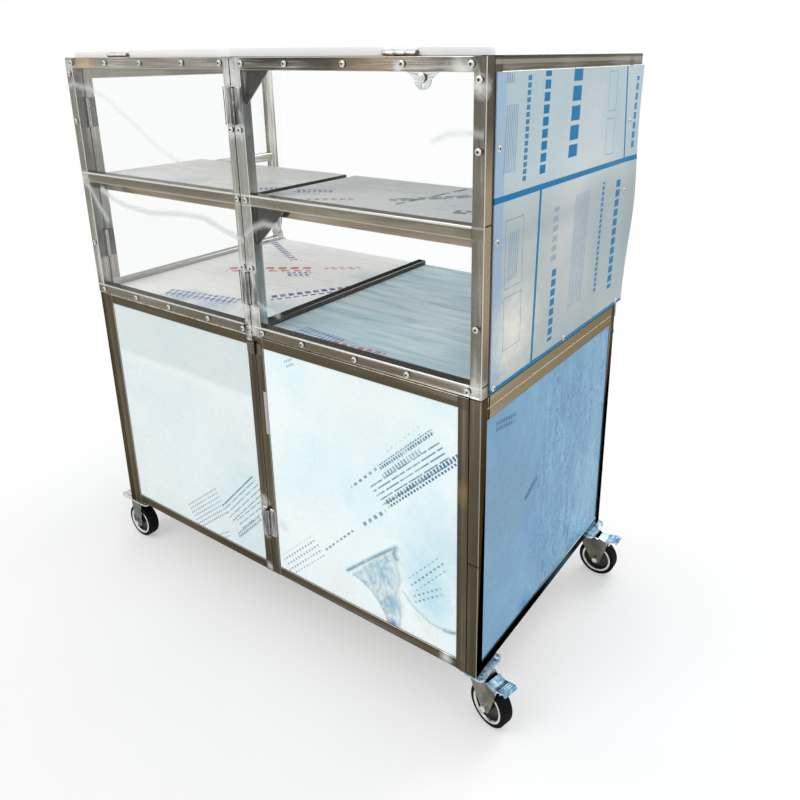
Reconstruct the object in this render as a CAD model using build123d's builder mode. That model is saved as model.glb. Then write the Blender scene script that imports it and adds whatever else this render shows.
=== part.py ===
from build123d import *
import os

os.makedirs("parts", exist_ok=True)

# Main sizes in mm
width = 1200
depth = 670
cabinet_height = 645
case_height = 605

# Square tube and sheet stock
tube = 25
tube_wall = 1
tube_corner = 1.8
sheet = 0.8
clear_sheet = 2.5
panel_inset = 3

# Gaps and running clearances
door_gap = 1
seat_gap = 1
running = 0.05
curved_gap = 0.3

# Shelf, deck and lid
mid_rail_height = 301
shelf_height = 305
shelf_depth = 335
board_thick = 13
board_gap = 30
lid_edge = 12
lid_crown = 4
lid_overhang = 55

# Clear and film-covered sheets
sheet_margin = 3
end_sheet_overhang_low = 26
end_sheet_overhang_high = 65

# Butt hinges
hinge_length = 72
short_hinge = 26
leaf_width = 23.5
leaf_thick = 2
knuckle_r = 4.5
knuckle_gap = 0.6
hinge_pin_r = 2.5
pin_head_r = 4
pin_head = 2
axis_out = knuckle_r + curved_gap
case_hinge_from_top = 97
case_hinge_from_seam = 114
cabinet_hinge_from_base = 151
lid_hinge_reach = 412
corner_hinge_from_top = 132
corner_hinge_from_seam = 135

# Sheet screws
screw_r = 2
screw_head_r = 4.5
screw_head = 3
screw_tip = 6
screw_hole_r = screw_r + running
screw_row = (0.047, 0.278, 0.5, 0.745, 0.947)

# Pull tab under the door's top rail, and gussets
tab_from_side = 126.5
tab_width = 67
tab_shoulder = 12.5
tab_end_r = 17.5
tab_thick = 2.5
tab_hole_drop = 22
tab_hole_r = 2.8
tab_bolt_drop = 9.5
tab_bolt_r = 3
tab_bolt_head_r = 5.5
tab_bolt_head = 4
gusset_thick = 3
gusset_high = 70
gusset_low = 90

# Clasp over the seam
clasp_width = 18
clasp_below = 13
clasp_above = 29
clasp_thick = 2
clasp_bead_r = 3

# Draw latches
latch_out = 9
latch_below_seam = 25
latch_arm = 10
bail_length = 45
bail_r = 1.25
bail_half = 10.5
lever_half = 6.7
lever_round = 5.5
lever_pin_r = 2
lever_length = 62
lever_flare = 21
latch_plate_half = 11
latch_plate_thick = 2
latch_plate_up = 12
latch_plate_down = 38
ear_thick = 1.8
ear_r = 6
hook_half = 8.5
hook_thick = 2
hook_lip = 5
hook_reach = 15
keeper_low = 2
keeper_high = 28

# Casters
caster_head = 30
wheel_r = 50
wheel_width = 30
tyre_inner_r = 40
tyre_round = 4
rim_inner_r = 34.5
hub_r = 12
axle_r = 4
axle_head = 5.3
axle_nut = 8
axle_hex_r = 7.5
fork_room = 3
fork_thick = 3
plate_thick = 4
plate_round = 12
plate_slot = 12
plate_slot_width = 9
plate_slot_inset = 10

# Rigid casters at the left
rigid_plate_length = 120
rigid_plate_width = 56
rigid_inset = 20
rigid_side_inset = 20
rigid_leg_width = 42
rigid_eye_r = 14

# Swivel casters at the right, the front one turned a little
swivel_plate_length = 64
swivel_plate_width = 88
swivel_inset = 15
swivel_side_inset = 42
swivel_eye_r = 13
front_turn = -14
trail = 36
race_height = 8
race_r = 24
crown_thick = 4
crown_back = 24
crown_ahead = 30
king_r = 6
king_nut_r = 10
king_nut = 6

# Brake pedals
pedal_pin_x = 58
pedal_pin_drop = 26
pedal_pin_r = 3
pedal_barrel_r = 5
pedal_ear_r = 7
pedal_start = 40
pedal_tip = 92
pedal_rise = 8
pedal_lip = 4.5
pedal_thick = 3
pedal_neck_half = 17
pedal_half = 19
shoe_half = 8
shoe_ahead = 6
shoe_thick = 3.5
shoe_gap = 2.6

# Datums, with the origin on the floor under the middle of the whole cart
fork_half = wheel_width / 2 + fork_room
fork_outer = fork_half + fork_thick
ear_reach = rigid_plate_length / 2 - rigid_inset
pedal_reach = pedal_tip - swivel_inset
axle_reach = fork_outer + axle_nut - rigid_side_inset
front_reach = max(axis_out + knuckle_r, clear_sheet + tab_bolt_head, axle_reach)
left = ear_reach - (width + ear_reach + pedal_reach) / 2
right = left + width
middle = (left + right) / 2
front = front_reach - (depth + front_reach + end_sheet_overhang_high) / 2
back = front + depth
base = 2 * wheel_r + caster_head
seam = base + cabinet_height
top = seam + case_height
inner_y = front + tube + door_gap
mid_rail = seam + mid_rail_height
shelf = seam + shelf_height
rear_shelf_y = inner_y + shelf_depth - tube
case_hinges = (seam + case_hinge_from_seam, top - case_hinge_from_top)
cabinet_hinge_z = base + cabinet_hinge_from_base
short_hinge_z = seam - clasp_below - seat_gap - pin_head - short_hinge / 2
corner_hinges = (seam + corner_hinge_from_seam, top - corner_hinge_from_top)
lid_hinges = (middle - lid_hinge_reach, middle + lid_hinge_reach)


def save(label, pieces):
    node = Compound([solid for piece in pieces for solid in piece.solids()])
    node.label = label
    export_step(node, "parts/" + label + ".step")


def block(x0, x1, y0, y1, z0, z1):
    with BuildPart() as piece:
        with Locations(((x0 + x1) / 2, (y0 + y1) / 2, (z0 + z1) / 2)):
            Box(x1 - x0, y1 - y0, z1 - z0)
    return piece.part


def tube_section():
    RectangleRounded(tube, tube, tube_corner)
    RectangleRounded(tube - 2 * tube_wall, tube - 2 * tube_wall, tube_corner - tube_wall, mode=Mode.SUBTRACT)


def tube_x(x0, x1, y, z):
    with BuildPart() as piece:
        with BuildSketch(Plane.YZ.offset(x0)):
            with Locations((y + tube / 2, z + tube / 2)):
                tube_section()
        extrude(amount=x1 - x0)
    return piece.part


def tube_y(y0, y1, x, z):
    with BuildPart() as piece:
        with BuildSketch(Plane.XZ.offset(-y1)):
            with Locations((x + tube / 2, z + tube / 2)):
                tube_section()
        extrude(amount=y1 - y0)
    return piece.part


def tube_z(z0, z1, x, y):
    with BuildPart() as piece:
        with BuildSketch(Plane.XY.offset(z0)):
            with Locations((x + tube / 2, y + tube / 2)):
                tube_section()
        extrude(amount=z1 - z0)
    return piece.part


def front_frame(x0, x1, z0, z1, mid_rails):
    stiles = [tube_z(z0, z1, x0, front), tube_z(z0, z1, x1 - tube, front)]
    levels = [z0, z1 - tube] + mid_rails
    rails = [tube_x(x0 + tube, x1 - tube, front, z) for z in levels]
    return stiles + rails


def pan(x0, x1, y0, y1, z, height):
    with BuildPart() as piece:
        with Locations(((x0 + x1) / 2, (y0 + y1) / 2, z + height / 2)):
            Box(x1 - x0, y1 - y0, height)
        with Locations(((x0 + x1) / 2, (y0 + y1) / 2, z + (height - sheet) / 2)):
            Box(x1 - x0 - 2 * sheet, y1 - y0 - 2 * sheet, height - sheet, mode=Mode.SUBTRACT)
    return piece.part


def drilled(piece, points, turn):
    with BuildPart() as work:
        add(piece)
        with Locations(*points):
            Cylinder(screw_hole_r, 4 * (clear_sheet + tube_wall), rotation=turn, mode=Mode.SUBTRACT)
    return work.part


def sheet_screw():
    with BuildPart() as piece:
        Cylinder(screw_r, clear_sheet + screw_tip, align=(Align.CENTER, Align.CENTER, Align.MIN))
        with Locations((0, 0, clear_sheet + screw_tip)):
            Cylinder(screw_head_r, screw_head, align=(Align.CENTER, Align.CENTER, Align.MIN))
        fillet(piece.edges().sort_by(Axis.Z)[-1], screw_head / 2)
    return piece.part


def screws_facing(points, out):
    placed = []
    for point in points:
        start = Vector(*point) - Vector(*out) * screw_tip
        placed.append(sheet_screw().moved(Location(Plane(start, z_dir=out))))
    return placed


# Lower cabinet frames
def cabinet_end(x):
    return [
        tube_z(base, seam, x, front),
        tube_z(base, seam, x, back - tube),
        tube_y(front + tube, back - tube, x, seam - tube),
        tube_y(front + tube, back - tube, x, seam - 2 * tube),
        tube_y(front + tube, back - tube, x, base),
    ]


save("cabinet_left_end_frame", cabinet_end(left))
save("cabinet_right_end_frame", cabinet_end(right - tube))

fixed_x = (left + tube, middle - door_gap / 2)
swing_x = (middle + door_gap / 2, right - tube - door_gap)
swing_z = (base + door_gap, seam - door_gap)
save("cabinet_front_left_frame", front_frame(*fixed_x, base, seam, []))
save("cabinet_door_frame", front_frame(*swing_x, *swing_z, []))

cross_tubes = [
    tube_x(left + tube, right - tube, inner_y, seam - tube),
    tube_x(left + tube, right - tube, inner_y, base),
    tube_x(left + tube, right - tube, back - tube, seam - tube),
    tube_x(left + tube, right - tube, back - tube, base),
    tube_z(base + tube, seam - tube, middle - tube / 2, back - tube),
]
save("cabinet_cross_tubes", cross_tubes)

# Lower cabinet panels
panel_y = front + panel_inset
panel_z = (base + tube, seam - tube)
front_panel = block(fixed_x[0] + tube, fixed_x[1] - tube, panel_y, panel_y + sheet, *panel_z)
save("cabinet_front_left_panel", [front_panel])
door_panel_z = (swing_z[0] + tube, swing_z[1] - tube)
door_panel = block(swing_x[0] + tube, swing_x[1] - tube, panel_y, panel_y + sheet, *door_panel_z)
save("cabinet_door_panel", [door_panel])

end_z = (base + tube, seam - 2 * tube)
left_panel_x = left + panel_inset
right_panel_x = right - panel_inset - sheet
left_panel = block(left_panel_x, left_panel_x + sheet, front + tube, back - tube, *end_z)
right_panel = block(right_panel_x, right_panel_x + sheet, front + tube, back - tube, *end_z)
save("cabinet_end_panels", [left_panel, right_panel])

back_panel_y = back - panel_inset - sheet
back_panels = [
    block(left + tube, middle - tube / 2, back_panel_y, back_panel_y + sheet, *panel_z),
    block(middle + tube / 2, right - tube, back_panel_y, back_panel_y + sheet, *panel_z),
]
save("cabinet_back_panels", back_panels)

floor_inset = tube / 2
floor_sheet = block(left + floor_inset, right - floor_inset, inner_y, back - tube, base + tube, base + tube + sheet)
save("cabinet_floor_sheet", [floor_sheet])

# Deck boards and the tube between them
deck_y = (inner_y + seat_gap, back - seat_gap)
board_left_x = (left + tube + seat_gap, middle - board_gap / 2)
board_right_x = (middle + board_gap / 2, right - tube - seat_gap)
save("deck_board_left", [pan(*board_left_x, *deck_y, seam, board_thick)])
save("deck_board_right", [pan(*board_right_x, *deck_y, seam, board_thick)])
save("deck_centre_tube", [tube_y(inner_y, back, middle - tube / 2, seam)])


# Display case end frames, drilled for the screws of their sheets
def end_screw_points(x):
    post_y = inner_y + tube / 2
    rear_y = back - tube / 2
    levels = (seam + tube / 2, shelf - tube / 2, (shelf + top) / 2)
    points = [(x, y, z) for z in levels for y in (post_y, rear_y)]
    points.append((x, (post_y + rear_y) / 2, seam + tube / 2))
    return points


def case_end(x, face):
    tubes = [
        tube_z(seam, top, x, inner_y),
        tube_z(seam, top - tube, x, back - tube),
        tube_y(inner_y + tube, back + lid_overhang, x, top - tube),
        tube_y(inner_y + tube, back - tube, x, top - 2 * tube),
        tube_y(inner_y + tube, back - tube, x, shelf - tube),
        tube_y(inner_y + tube, back - tube, x, seam),
    ]
    return [drilled(piece, end_screw_points(face), (0, 90, 0)) for piece in tubes]


save("case_left_end_frame", case_end(left, left))
save("case_right_end_frame", case_end(right - tube, right))


# Display case front frames, drilled for the screws of their sheets
def front_screw_points(outer_x, toward, low):
    half = width / 2
    points = []
    for share in screw_row:
        points.append((outer_x + toward * share * half, front, top - tube / 2 - low))
        points.append((outer_x + toward * share * half, front, seam + tube / 2 + low))
    outer_levels = (case_hinges[0] + tube, (mid_rail + top) / 2, top - 1.5 * tube)
    for z in outer_levels:
        points.append((outer_x + toward * tube / 2, front, z))
    clear = hinge_length / 2 + 2 * screw_head_r + sheet_margin
    inner_levels = (case_hinges[0] + clear, mid_rail + tube / 2, case_hinges[1] - clear)
    for z in inner_levels:
        points.append((middle - toward * (door_gap + tube) / 2, front, z))
    return points


fixed_points = front_screw_points(left, 1, 0)
swing_points = front_screw_points(right, -1, door_gap)
turn_y = (90, 0, 0)

case_left_tubes = front_frame(left, middle - door_gap / 2, seam, top, [mid_rail])
save("case_front_left_frame", [drilled(piece, fixed_points, turn_y) for piece in case_left_tubes])

case_door_tubes = front_frame(middle + door_gap / 2, right, seam + door_gap, top - door_gap, [mid_rail])
door_tubes = [drilled(piece, swing_points, turn_y) for piece in case_door_tubes]
top_rail_low = top - door_gap - tube


def gusset(size, z):
    x = middle + door_gap / 2 + tube
    with BuildPart() as piece:
        with BuildSketch(Plane.XZ.offset(-(front + tube / 2 + gusset_thick / 2))):
            Polygon((x, z), (x + size, z), (x, z - size), align=None)
        extrude(amount=gusset_thick)
    return piece.part


gussets = [gusset(gusset_high, top_rail_low), gusset(gusset_low, mid_rail)]
save("case_door_frame", door_tubes + gussets)

# Ties and shelf tubes
ties = [
    tube_x(left + tube, right - tube, inner_y, top - tube),
    tube_x(left + tube, right - tube, back + lid_overhang - tube, top - tube),
]
save("case_tie_tubes", ties)

shelf_tubes = [
    tube_x(left + tube, right - tube, inner_y, shelf - tube),
    tube_x(left + tube, right - tube, rear_shelf_y, shelf - tube),
    tube_y(inner_y + tube, rear_shelf_y, middle - tube / 2, shelf - tube),
]
save("shelf_tubes", shelf_tubes)
shelf_y = (inner_y + seat_gap, inner_y + shelf_depth)
save("shelf_board_left", [pan(*board_left_x, *shelf_y, shelf, board_thick)])
save("shelf_board_right", [pan(*board_right_x, *shelf_y, shelf, board_thick)])


# Clear front sheets, notched round the hinges
def front_sheet(x0, x1, z0, z1, points, inner_x, notches):
    reach = tube + 2 * seat_gap
    with BuildPart() as piece:
        add(block(x0, x1, front - clear_sheet, front, z0, z1))
        for z, height in notches:
            with Locations((inner_x, front, z)):
                Box(2 * reach, 4 * clear_sheet, height, mode=Mode.SUBTRACT)
    return drilled(piece.part, points, turn_y)


hinge_notches = [(z, hinge_length + 2 * (pin_head + seat_gap)) for z in case_hinges]
clasp_notch = (seam, 2 * (clasp_above + seat_gap))
fixed_sheet_z = (seam + sheet_margin, top - sheet_margin)
swing_sheet_z = (seam + sheet_margin + door_gap, top - sheet_margin - door_gap)
fixed_sheet_x = (left + sheet_margin, middle - sheet_margin)
swing_sheet_x = (middle + sheet_margin, right - sheet_margin)
left_notches = hinge_notches + [clasp_notch]
left_clear = front_sheet(*fixed_sheet_x, *fixed_sheet_z, fixed_points, middle, left_notches)
save("case_front_left_sheet", [left_clear])
swing_clear = front_sheet(*swing_sheet_x, *swing_sheet_z, swing_points, middle, hinge_notches)
tab_x = right - tab_from_side
tab_bolt_z = top_rail_low - tab_bolt_drop
with BuildPart() as door_sheet:
    add(swing_clear)
    with Locations((tab_x, front, tab_bolt_z)):
        Cylinder(tab_bolt_r + running, 4 * clear_sheet, rotation=turn_y, mode=Mode.SUBTRACT)
save("case_door_sheet", [door_sheet.part])


# End sheets, wider at the top than the posts
def end_sheet(face, outward):
    low = seam + sheet_margin
    high = top - tube - door_gap
    corners = [
        (inner_y + sheet_margin, low),
        (back + end_sheet_overhang_low, low),
        (back + end_sheet_overhang_high, high),
        (inner_y + sheet_margin, high),
    ]
    with BuildPart() as piece:
        with BuildSketch(Plane.YZ.offset(face)):
            Polygon(*corners, align=None)
        extrude(amount=outward * clear_sheet)
    return drilled(piece.part, end_screw_points(face), (0, 90, 0))


save("case_left_end_sheet", [end_sheet(left, -1)])
save("case_right_end_sheet", [end_sheet(right, 1)])

# Screws of the fixed sheets
fixed_screws = screws_facing(fixed_points, (0, -1, 0))
fixed_screws += screws_facing(end_screw_points(left), (-1, 0, 0))
fixed_screws += screws_facing(end_screw_points(right), (1, 0, 0))
save("sheet_screws", fixed_screws)

# Pull tab under the flat of the top rail, its bolt and nut, and the screws of the door's sheet
tab_back = front + tube_corner + tab_thick
tab_turn = top_rail_low - tab_shoulder
tab_flank = [
    (tab_x - tab_width / 2, top_rail_low),
    (tab_x + tab_width / 2, top_rail_low),
    (tab_x + tab_end_r, tab_turn),
    (tab_x - tab_end_r, tab_turn),
]
with BuildPart() as tab:
    with BuildSketch(Plane.XZ.offset(-tab_back)):
        Polygon(*tab_flank, align=None)
        with Locations((tab_x, tab_turn)):
            Circle(tab_end_r)
        with Locations((tab_x, top_rail_low + tab_end_r)):
            Rectangle(2 * tab_width, 2 * tab_end_r, mode=Mode.SUBTRACT)
        with Locations((tab_x, top_rail_low - tab_hole_drop)):
            Circle(tab_hole_r, mode=Mode.SUBTRACT)
        with Locations((tab_x, tab_bolt_z)):
            Circle(tab_bolt_r + running, mode=Mode.SUBTRACT)
    extrude(amount=tab_thick)
with BuildPart() as tab_bolt:
    with BuildSketch(Plane.XZ.offset(-(front - clear_sheet))):
        with Locations((tab_x, tab_bolt_z)):
            RegularPolygon(tab_bolt_head_r, 6)
    extrude(amount=tab_bolt_head)
    with BuildSketch(Plane.XZ.offset(-tab_back)):
        with Locations((tab_x, tab_bolt_z)):
            RegularPolygon(tab_bolt_head_r, 6)
    extrude(amount=-tab_bolt_head)
    with BuildSketch(Plane.XZ.offset(-tab_back)):
        with Locations((tab_x, tab_bolt_z)):
            Circle(tab_bolt_r)
    extrude(amount=tab_back - front + clear_sheet)
save("case_door_tab", [tab.part])
save("case_door_screws", screws_facing(swing_points, (0, -1, 0)) + [tab_bolt.part])


# Hinge leaves round a local Z axis, with the mounting face at +Y
def hinge_leaf(length, reach, side, knuckles, spaces):
    third = length / 3
    with BuildPart() as piece:
        with Locations((side * reach / 2, axis_out - leaf_thick / 2, 0)):
            Box(reach, leaf_thick, length)
        with Locations(*[(0, 0, step * third) for step in spaces]):
            Box(2 * axis_out, 4 * axis_out, third + knuckle_gap, mode=Mode.SUBTRACT)
        with Locations(*[(0, 0, step * third) for step in knuckles]):
            Cylinder(knuckle_r, third - knuckle_gap)
        Cylinder(hinge_pin_r + running, 2 * length, mode=Mode.SUBTRACT)
    return piece.part


def outer_leaf(length, reach, side):
    return hinge_leaf(length, reach, side, (-1, 1), (0,))


def inner_leaf(length, reach, side):
    return hinge_leaf(length, reach, side, (0,), (-1, 1))


def hinge_pin(length):
    with BuildPart() as piece:
        Cylinder(hinge_pin_r, length)
        with Locations((0, 0, (length + pin_head) / 2), (0, 0, -(length + pin_head) / 2)):
            Cylinder(pin_head_r, pin_head)
    return piece.part


case_places = [Location((middle, front - axis_out, z)) for z in case_hinges]
cabinet_place = Location((middle, front - axis_out, cabinet_hinge_z))
short_place = Location((middle, front - axis_out, short_hinge_z))
corner_places = []
for z in corner_hinges:
    corner = (left + tube + axis_out, inner_y - door_gap / 2, z)
    corner_places.append(Location(Plane(corner, x_dir=(0, 1, 0), z_dir=(0, 0, 1))))
lid_fixed_places = []
lid_swing_places = []
for x in lid_hinges:
    axis_point = (x, inner_y - axis_out, top + axis_out)
    lid_fixed_places.append(Location(Plane(axis_point, x_dir=(0, 1, 0), z_dir=(-1, 0, 0))))
    lid_swing_places.append(Location(Plane(axis_point, x_dir=(0, 0, 1), z_dir=(-1, 0, 0))))

long_places = case_places + [cabinet_place] + corner_places
fixed_leaves = [outer_leaf(hinge_length, leaf_width, -1).moved(p) for p in long_places]
fixed_leaves += [outer_leaf(short_hinge, leaf_width, -1).moved(short_place)]
fixed_leaves += [outer_leaf(hinge_length, leaf_width, 1).moved(p) for p in lid_fixed_places]
save("hinge_fixed_leaves", fixed_leaves)
save("case_door_hinge_leaves", [inner_leaf(hinge_length, leaf_width, 1).moved(p) for p in case_places])
cabinet_door_leaves = [
    inner_leaf(hinge_length, leaf_width, 1).moved(cabinet_place),
    inner_leaf(short_hinge, leaf_width, 1).moved(short_place),
]
save("cabinet_door_hinge_leaves", cabinet_door_leaves)
save("corner_hinge_leaves", [inner_leaf(hinge_length, leaf_width, 1).moved(p) for p in corner_places])
lid_leaf = lid_edge - axis_out
save("lid_hinge_leaves", [inner_leaf(hinge_length, lid_leaf, 1).moved(p) for p in lid_swing_places])
pins = [hinge_pin(hinge_length).moved(p) for p in long_places + lid_fixed_places]
save("hinge_pins", pins + [hinge_pin(short_hinge).moved(short_place)])


# Lid of folded sheet with a slight crown, notched over the fixed hinge leaves
def lid_profile(inset):
    ends = lid_edge - inset
    with BuildLine() as outline:
        Polyline((left + inset, top + ends), (left + inset, top), (right - inset, top), (right - inset, top + ends))
        ThreePointArc((right - inset, top + ends), (middle, top + ends + lid_crown), (left + inset, top + ends))
    return outline.edges()


lid_back = back + lid_overhang
with BuildPart() as lid:
    with BuildSketch(Plane.XZ.offset(-lid_back)):
        make_face(lid_profile(0))
    extrude(amount=lid_back - inner_y)
    with BuildSketch(Plane.XZ.offset(-(lid_back - sheet))):
        make_face(lid_profile(sheet))
    extrude(amount=lid_back - inner_y - 2 * sheet, mode=Mode.SUBTRACT)
    with Locations(*[(x, inner_y, top) for x in lid_hinges]):
        Box(hinge_length + 2 * seat_gap, 4 * sheet, 2 * (leaf_thick + curved_gap), mode=Mode.SUBTRACT)
save("lid", [lid.part])

# Clasp over the seam at the front
clasp_x = middle - (door_gap + tube) / 2
with BuildPart() as clasp:
    with Locations((clasp_x, front - clasp_thick / 2, seam + (clasp_above - clasp_below) / 2)):
        Box(clasp_width, clasp_thick, clasp_above + clasp_below)
    with Locations((clasp_x, front - clasp_thick, seam + clasp_above / 3)):
        Cylinder(clasp_bead_r, clasp_width, rotation=(0, 90, 0))
    with Locations((clasp_x, front + clasp_bead_r, seam)):
        Box(2 * clasp_width, 2 * clasp_bead_r, 2 * (clasp_above + clasp_below), mode=Mode.SUBTRACT)
save("seam_clasp", [clasp.part])

# Draw latches on the back corner posts
pivot_y = back + latch_out
pivot_z = seam - latch_below_seam
bar_z = pivot_z - latch_arm + bail_length
hook_top = bar_z - bail_r - curved_gap


def latch_base(x):
    ear_x = lever_half + curved_gap
    with BuildPart() as piece:
        plate_z = (pivot_z - latch_plate_down, pivot_z + latch_plate_up)
        add(block(x - latch_plate_half, x + latch_plate_half, back, back + latch_plate_thick, *plate_z))
        for start in (x - ear_x - ear_thick, x + ear_x):
            with BuildSketch(Plane.YZ.offset(start)):
                with Locations((pivot_y, pivot_z)):
                    Circle(ear_r)
                with Locations(((back + pivot_y) / 2, pivot_z)):
                    Rectangle(latch_out, 2 * ear_r)
            extrude(amount=ear_thick)
        with Locations((x, pivot_y, pivot_z)):
            Cylinder(lever_pin_r, 2 * (ear_x + ear_thick), rotation=(0, 90, 0))
    return piece.part


def latch_lever(x):
    body = latch_out / 2
    knee = lever_length * 0.7
    outline = [
        (pivot_y - body, pivot_z),
        (pivot_y - body, pivot_z - knee),
        (pivot_y + lever_flare - latch_out - body, pivot_z - lever_length),
        (pivot_y + lever_flare - latch_out, pivot_z - lever_length + body / 2),
        (pivot_y + body, pivot_z - knee + body / 2),
        (pivot_y + body, pivot_z),
    ]
    with BuildPart() as piece:
        with BuildSketch(Plane.YZ.offset(x - lever_half)):
            with Locations((pivot_y, pivot_z)):
                Circle(lever_round)
            Polygon(*outline, align=None)
            with Locations((pivot_y, pivot_z)):
                Circle(lever_pin_r + running, mode=Mode.SUBTRACT)
            with Locations((pivot_y, pivot_z - latch_arm)):
                Circle(bail_r + running, mode=Mode.SUBTRACT)
        extrude(amount=2 * lever_half)
    return piece.part


def latch_bail(x):
    stub = bail_half - lever_half / 2
    foot_z = pivot_z - latch_arm
    with BuildPart() as piece:
        for side in (-1, 1):
            with Locations((x + side * (bail_half - stub / 2), pivot_y, foot_z)):
                Cylinder(bail_r, stub, rotation=(0, 90, 0))
            with Locations((x + side * bail_half, pivot_y, foot_z + bail_length / 2)):
                Cylinder(bail_r, bail_length)
            with Locations((x + side * bail_half, pivot_y, foot_z), (x + side * bail_half, pivot_y, bar_z)):
                Sphere(bail_r)
        with Locations((x, pivot_y, bar_z)):
            Cylinder(bail_r, 2 * bail_half, rotation=(0, 90, 0))
    return piece.part


def latch_keeper(x):
    with BuildPart() as piece:
        plate_z = (seam + keeper_low, seam + keeper_high)
        add(block(x - latch_plate_half, x + latch_plate_half, back, back + latch_plate_thick, *plate_z))
        add(block(x - hook_half, x + hook_half, back, back + hook_reach, hook_top - hook_thick, hook_top))
        lip_y = (back + hook_reach - hook_thick, back + hook_reach)
        add(block(x - hook_half, x + hook_half, *lip_y, hook_top - hook_thick, hook_top + hook_lip))
    return piece.part


latch_places = {"left": left + tube / 2, "right": right - tube / 2}
save("latch_bases", [latch_base(x) for x in latch_places.values()])
save("latch_keepers", [latch_keeper(x) for x in latch_places.values()])
for side, x in latch_places.items():
    save("latch_lever_" + side, [latch_lever(x)])
    save("latch_bail_" + side, [latch_bail(x)])

# Caster places
rigid_x = left + rigid_inset
swivel_x = right - swivel_inset
rigid_y = {"front": front + rigid_side_inset, "rear": back - rigid_side_inset}
swivel_y = {"front": front + swivel_side_inset, "rear": back - swivel_side_inset}
swivel_turn = {"front": front_turn, "rear": 0}
axle_z = wheel_r
plate_z = base - plate_thick
crown_top = plate_z - race_height
crown_low = crown_top - crown_thick
pedal_pin_z = base - pedal_pin_drop


# Caster pieces stand at the origin and are placed when they are saved
def plate_sketch(length, breadth):
    RectangleRounded(length, breadth, plate_round)
    with GridLocations(length - 2 * plate_slot_inset, breadth - 2 * plate_slot_inset, 2, 2):
        SlotOverall(plate_slot, plate_slot_width, mode=Mode.SUBTRACT)


def axle_hole(x):
    with Locations((x, 0, axle_z)):
        Cylinder(axle_r + running, 4 * fork_outer, rotation=turn_y, mode=Mode.SUBTRACT)


# Rigid fork with its plate
with BuildPart() as rigid_fork:
    with BuildSketch(Plane.XY.offset(plate_z)):
        plate_sketch(rigid_plate_length, rigid_plate_width)
    extrude(amount=plate_thick)
    for leg_y in (fork_outer, -fork_half):
        with BuildSketch(Plane.XZ.offset(-leg_y)):
            with Locations((0, axle_z)):
                Circle(rigid_eye_r)
            with Locations((0, plate_z - fork_thick / 2)):
                Rectangle(rigid_leg_width, fork_thick)
            make_hull()
        extrude(amount=fork_thick)
    axle_hole(0)

# Swivel plate with the upper ball race, and king bolt
with BuildPart() as swivel_plate:
    with BuildSketch(Plane.XY.offset(plate_z)):
        plate_sketch(swivel_plate_length, swivel_plate_width)
    extrude(amount=plate_thick)
    with BuildSketch(Plane.XY.offset(crown_top + curved_gap)):
        Circle(race_r)
    extrude(amount=race_height - curved_gap)
    with Locations((0, 0, plate_z)):
        Cylinder(king_r + running, 4 * race_height, mode=Mode.SUBTRACT)

king_nut_top = crown_low - curved_gap
with BuildPart() as king_bolt:
    with BuildSketch(Plane.XY.offset(king_nut_top)):
        Circle(king_r)
    extrude(amount=base - king_nut_top)
    with BuildSketch(Plane.XY.offset(king_nut_top - king_nut)):
        RegularPolygon(king_nut_r, 6)
    extrude(amount=king_nut)

# Swivel fork with the pin of the brake pedal
crown_length = crown_back + crown_ahead
crown_x = (crown_ahead - crown_back) / 2
with BuildPart() as swivel_fork:
    with BuildSketch(Plane.XY.offset(crown_low)):
        with Locations((crown_x, 0)):
            RectangleRounded(crown_length, 2 * fork_outer, crown_thick)
        Circle(king_r + running, mode=Mode.SUBTRACT)
    extrude(amount=crown_thick)
    for leg_y in (fork_outer, -fork_half):
        with BuildSketch(Plane.XZ.offset(-leg_y)):
            with Locations((trail, axle_z)):
                Circle(swivel_eye_r)
            with Locations((crown_x, crown_low + crown_thick / 2)):
                Rectangle(crown_length - 2 * crown_thick, crown_thick)
            with Locations((pedal_pin_x, pedal_pin_z)):
                Circle(pedal_ear_r)
            make_hull()
        extrude(amount=fork_thick)
    with Locations((pedal_pin_x, 0, pedal_pin_z)):
        Cylinder(pedal_pin_r, 2 * fork_outer, rotation=turn_y)
    axle_hole(trail)

# Brake pedal: a tread that rises from the fork's ears, a web to the barrel, and a shoe above the tyre
ear_slope = (crown_top - pedal_pin_z - pedal_ear_r) / (pedal_pin_x - crown_ahead)
tread_low = pedal_pin_z + pedal_ear_r + 2 * curved_gap
tread_start_low = tread_low + ear_slope * (pedal_pin_x - pedal_start)
tread_end_low = tread_low + pedal_rise
tread_line = [(pedal_start, tread_start_low), (pedal_pin_x, tread_low), (pedal_tip - 2 * pedal_thick, tread_end_low)]
tread = tread_line + [(pedal_tip - pedal_thick, tread_end_low - pedal_lip)]
tread += [(pedal_tip, tread_end_low - pedal_lip + pedal_thick / 2)]
tread += [(x, z + pedal_thick) for x, z in reversed(tread_line)]
web_half = pedal_barrel_r
web = [
    (pedal_pin_x - web_half, pedal_pin_z),
    (pedal_pin_x + web_half, pedal_pin_z),
    (pedal_pin_x + web_half, tread_low),
    (pedal_pin_x - web_half, tread_low + pedal_thick / 2),
]
shoe_x = pedal_pin_x + shoe_ahead
shoe_low = axle_z + ((wheel_r + shoe_gap) ** 2 - (shoe_x - trail) ** 2) ** 0.5
shoe = [
    (pedal_pin_x, pedal_pin_z),
    (pedal_pin_x + pedal_barrel_r + shoe_thick, pedal_pin_z),
    (shoe_x + shoe_thick, shoe_low + shoe_thick / 2),
    (shoe_x, shoe_low),
]
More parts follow.
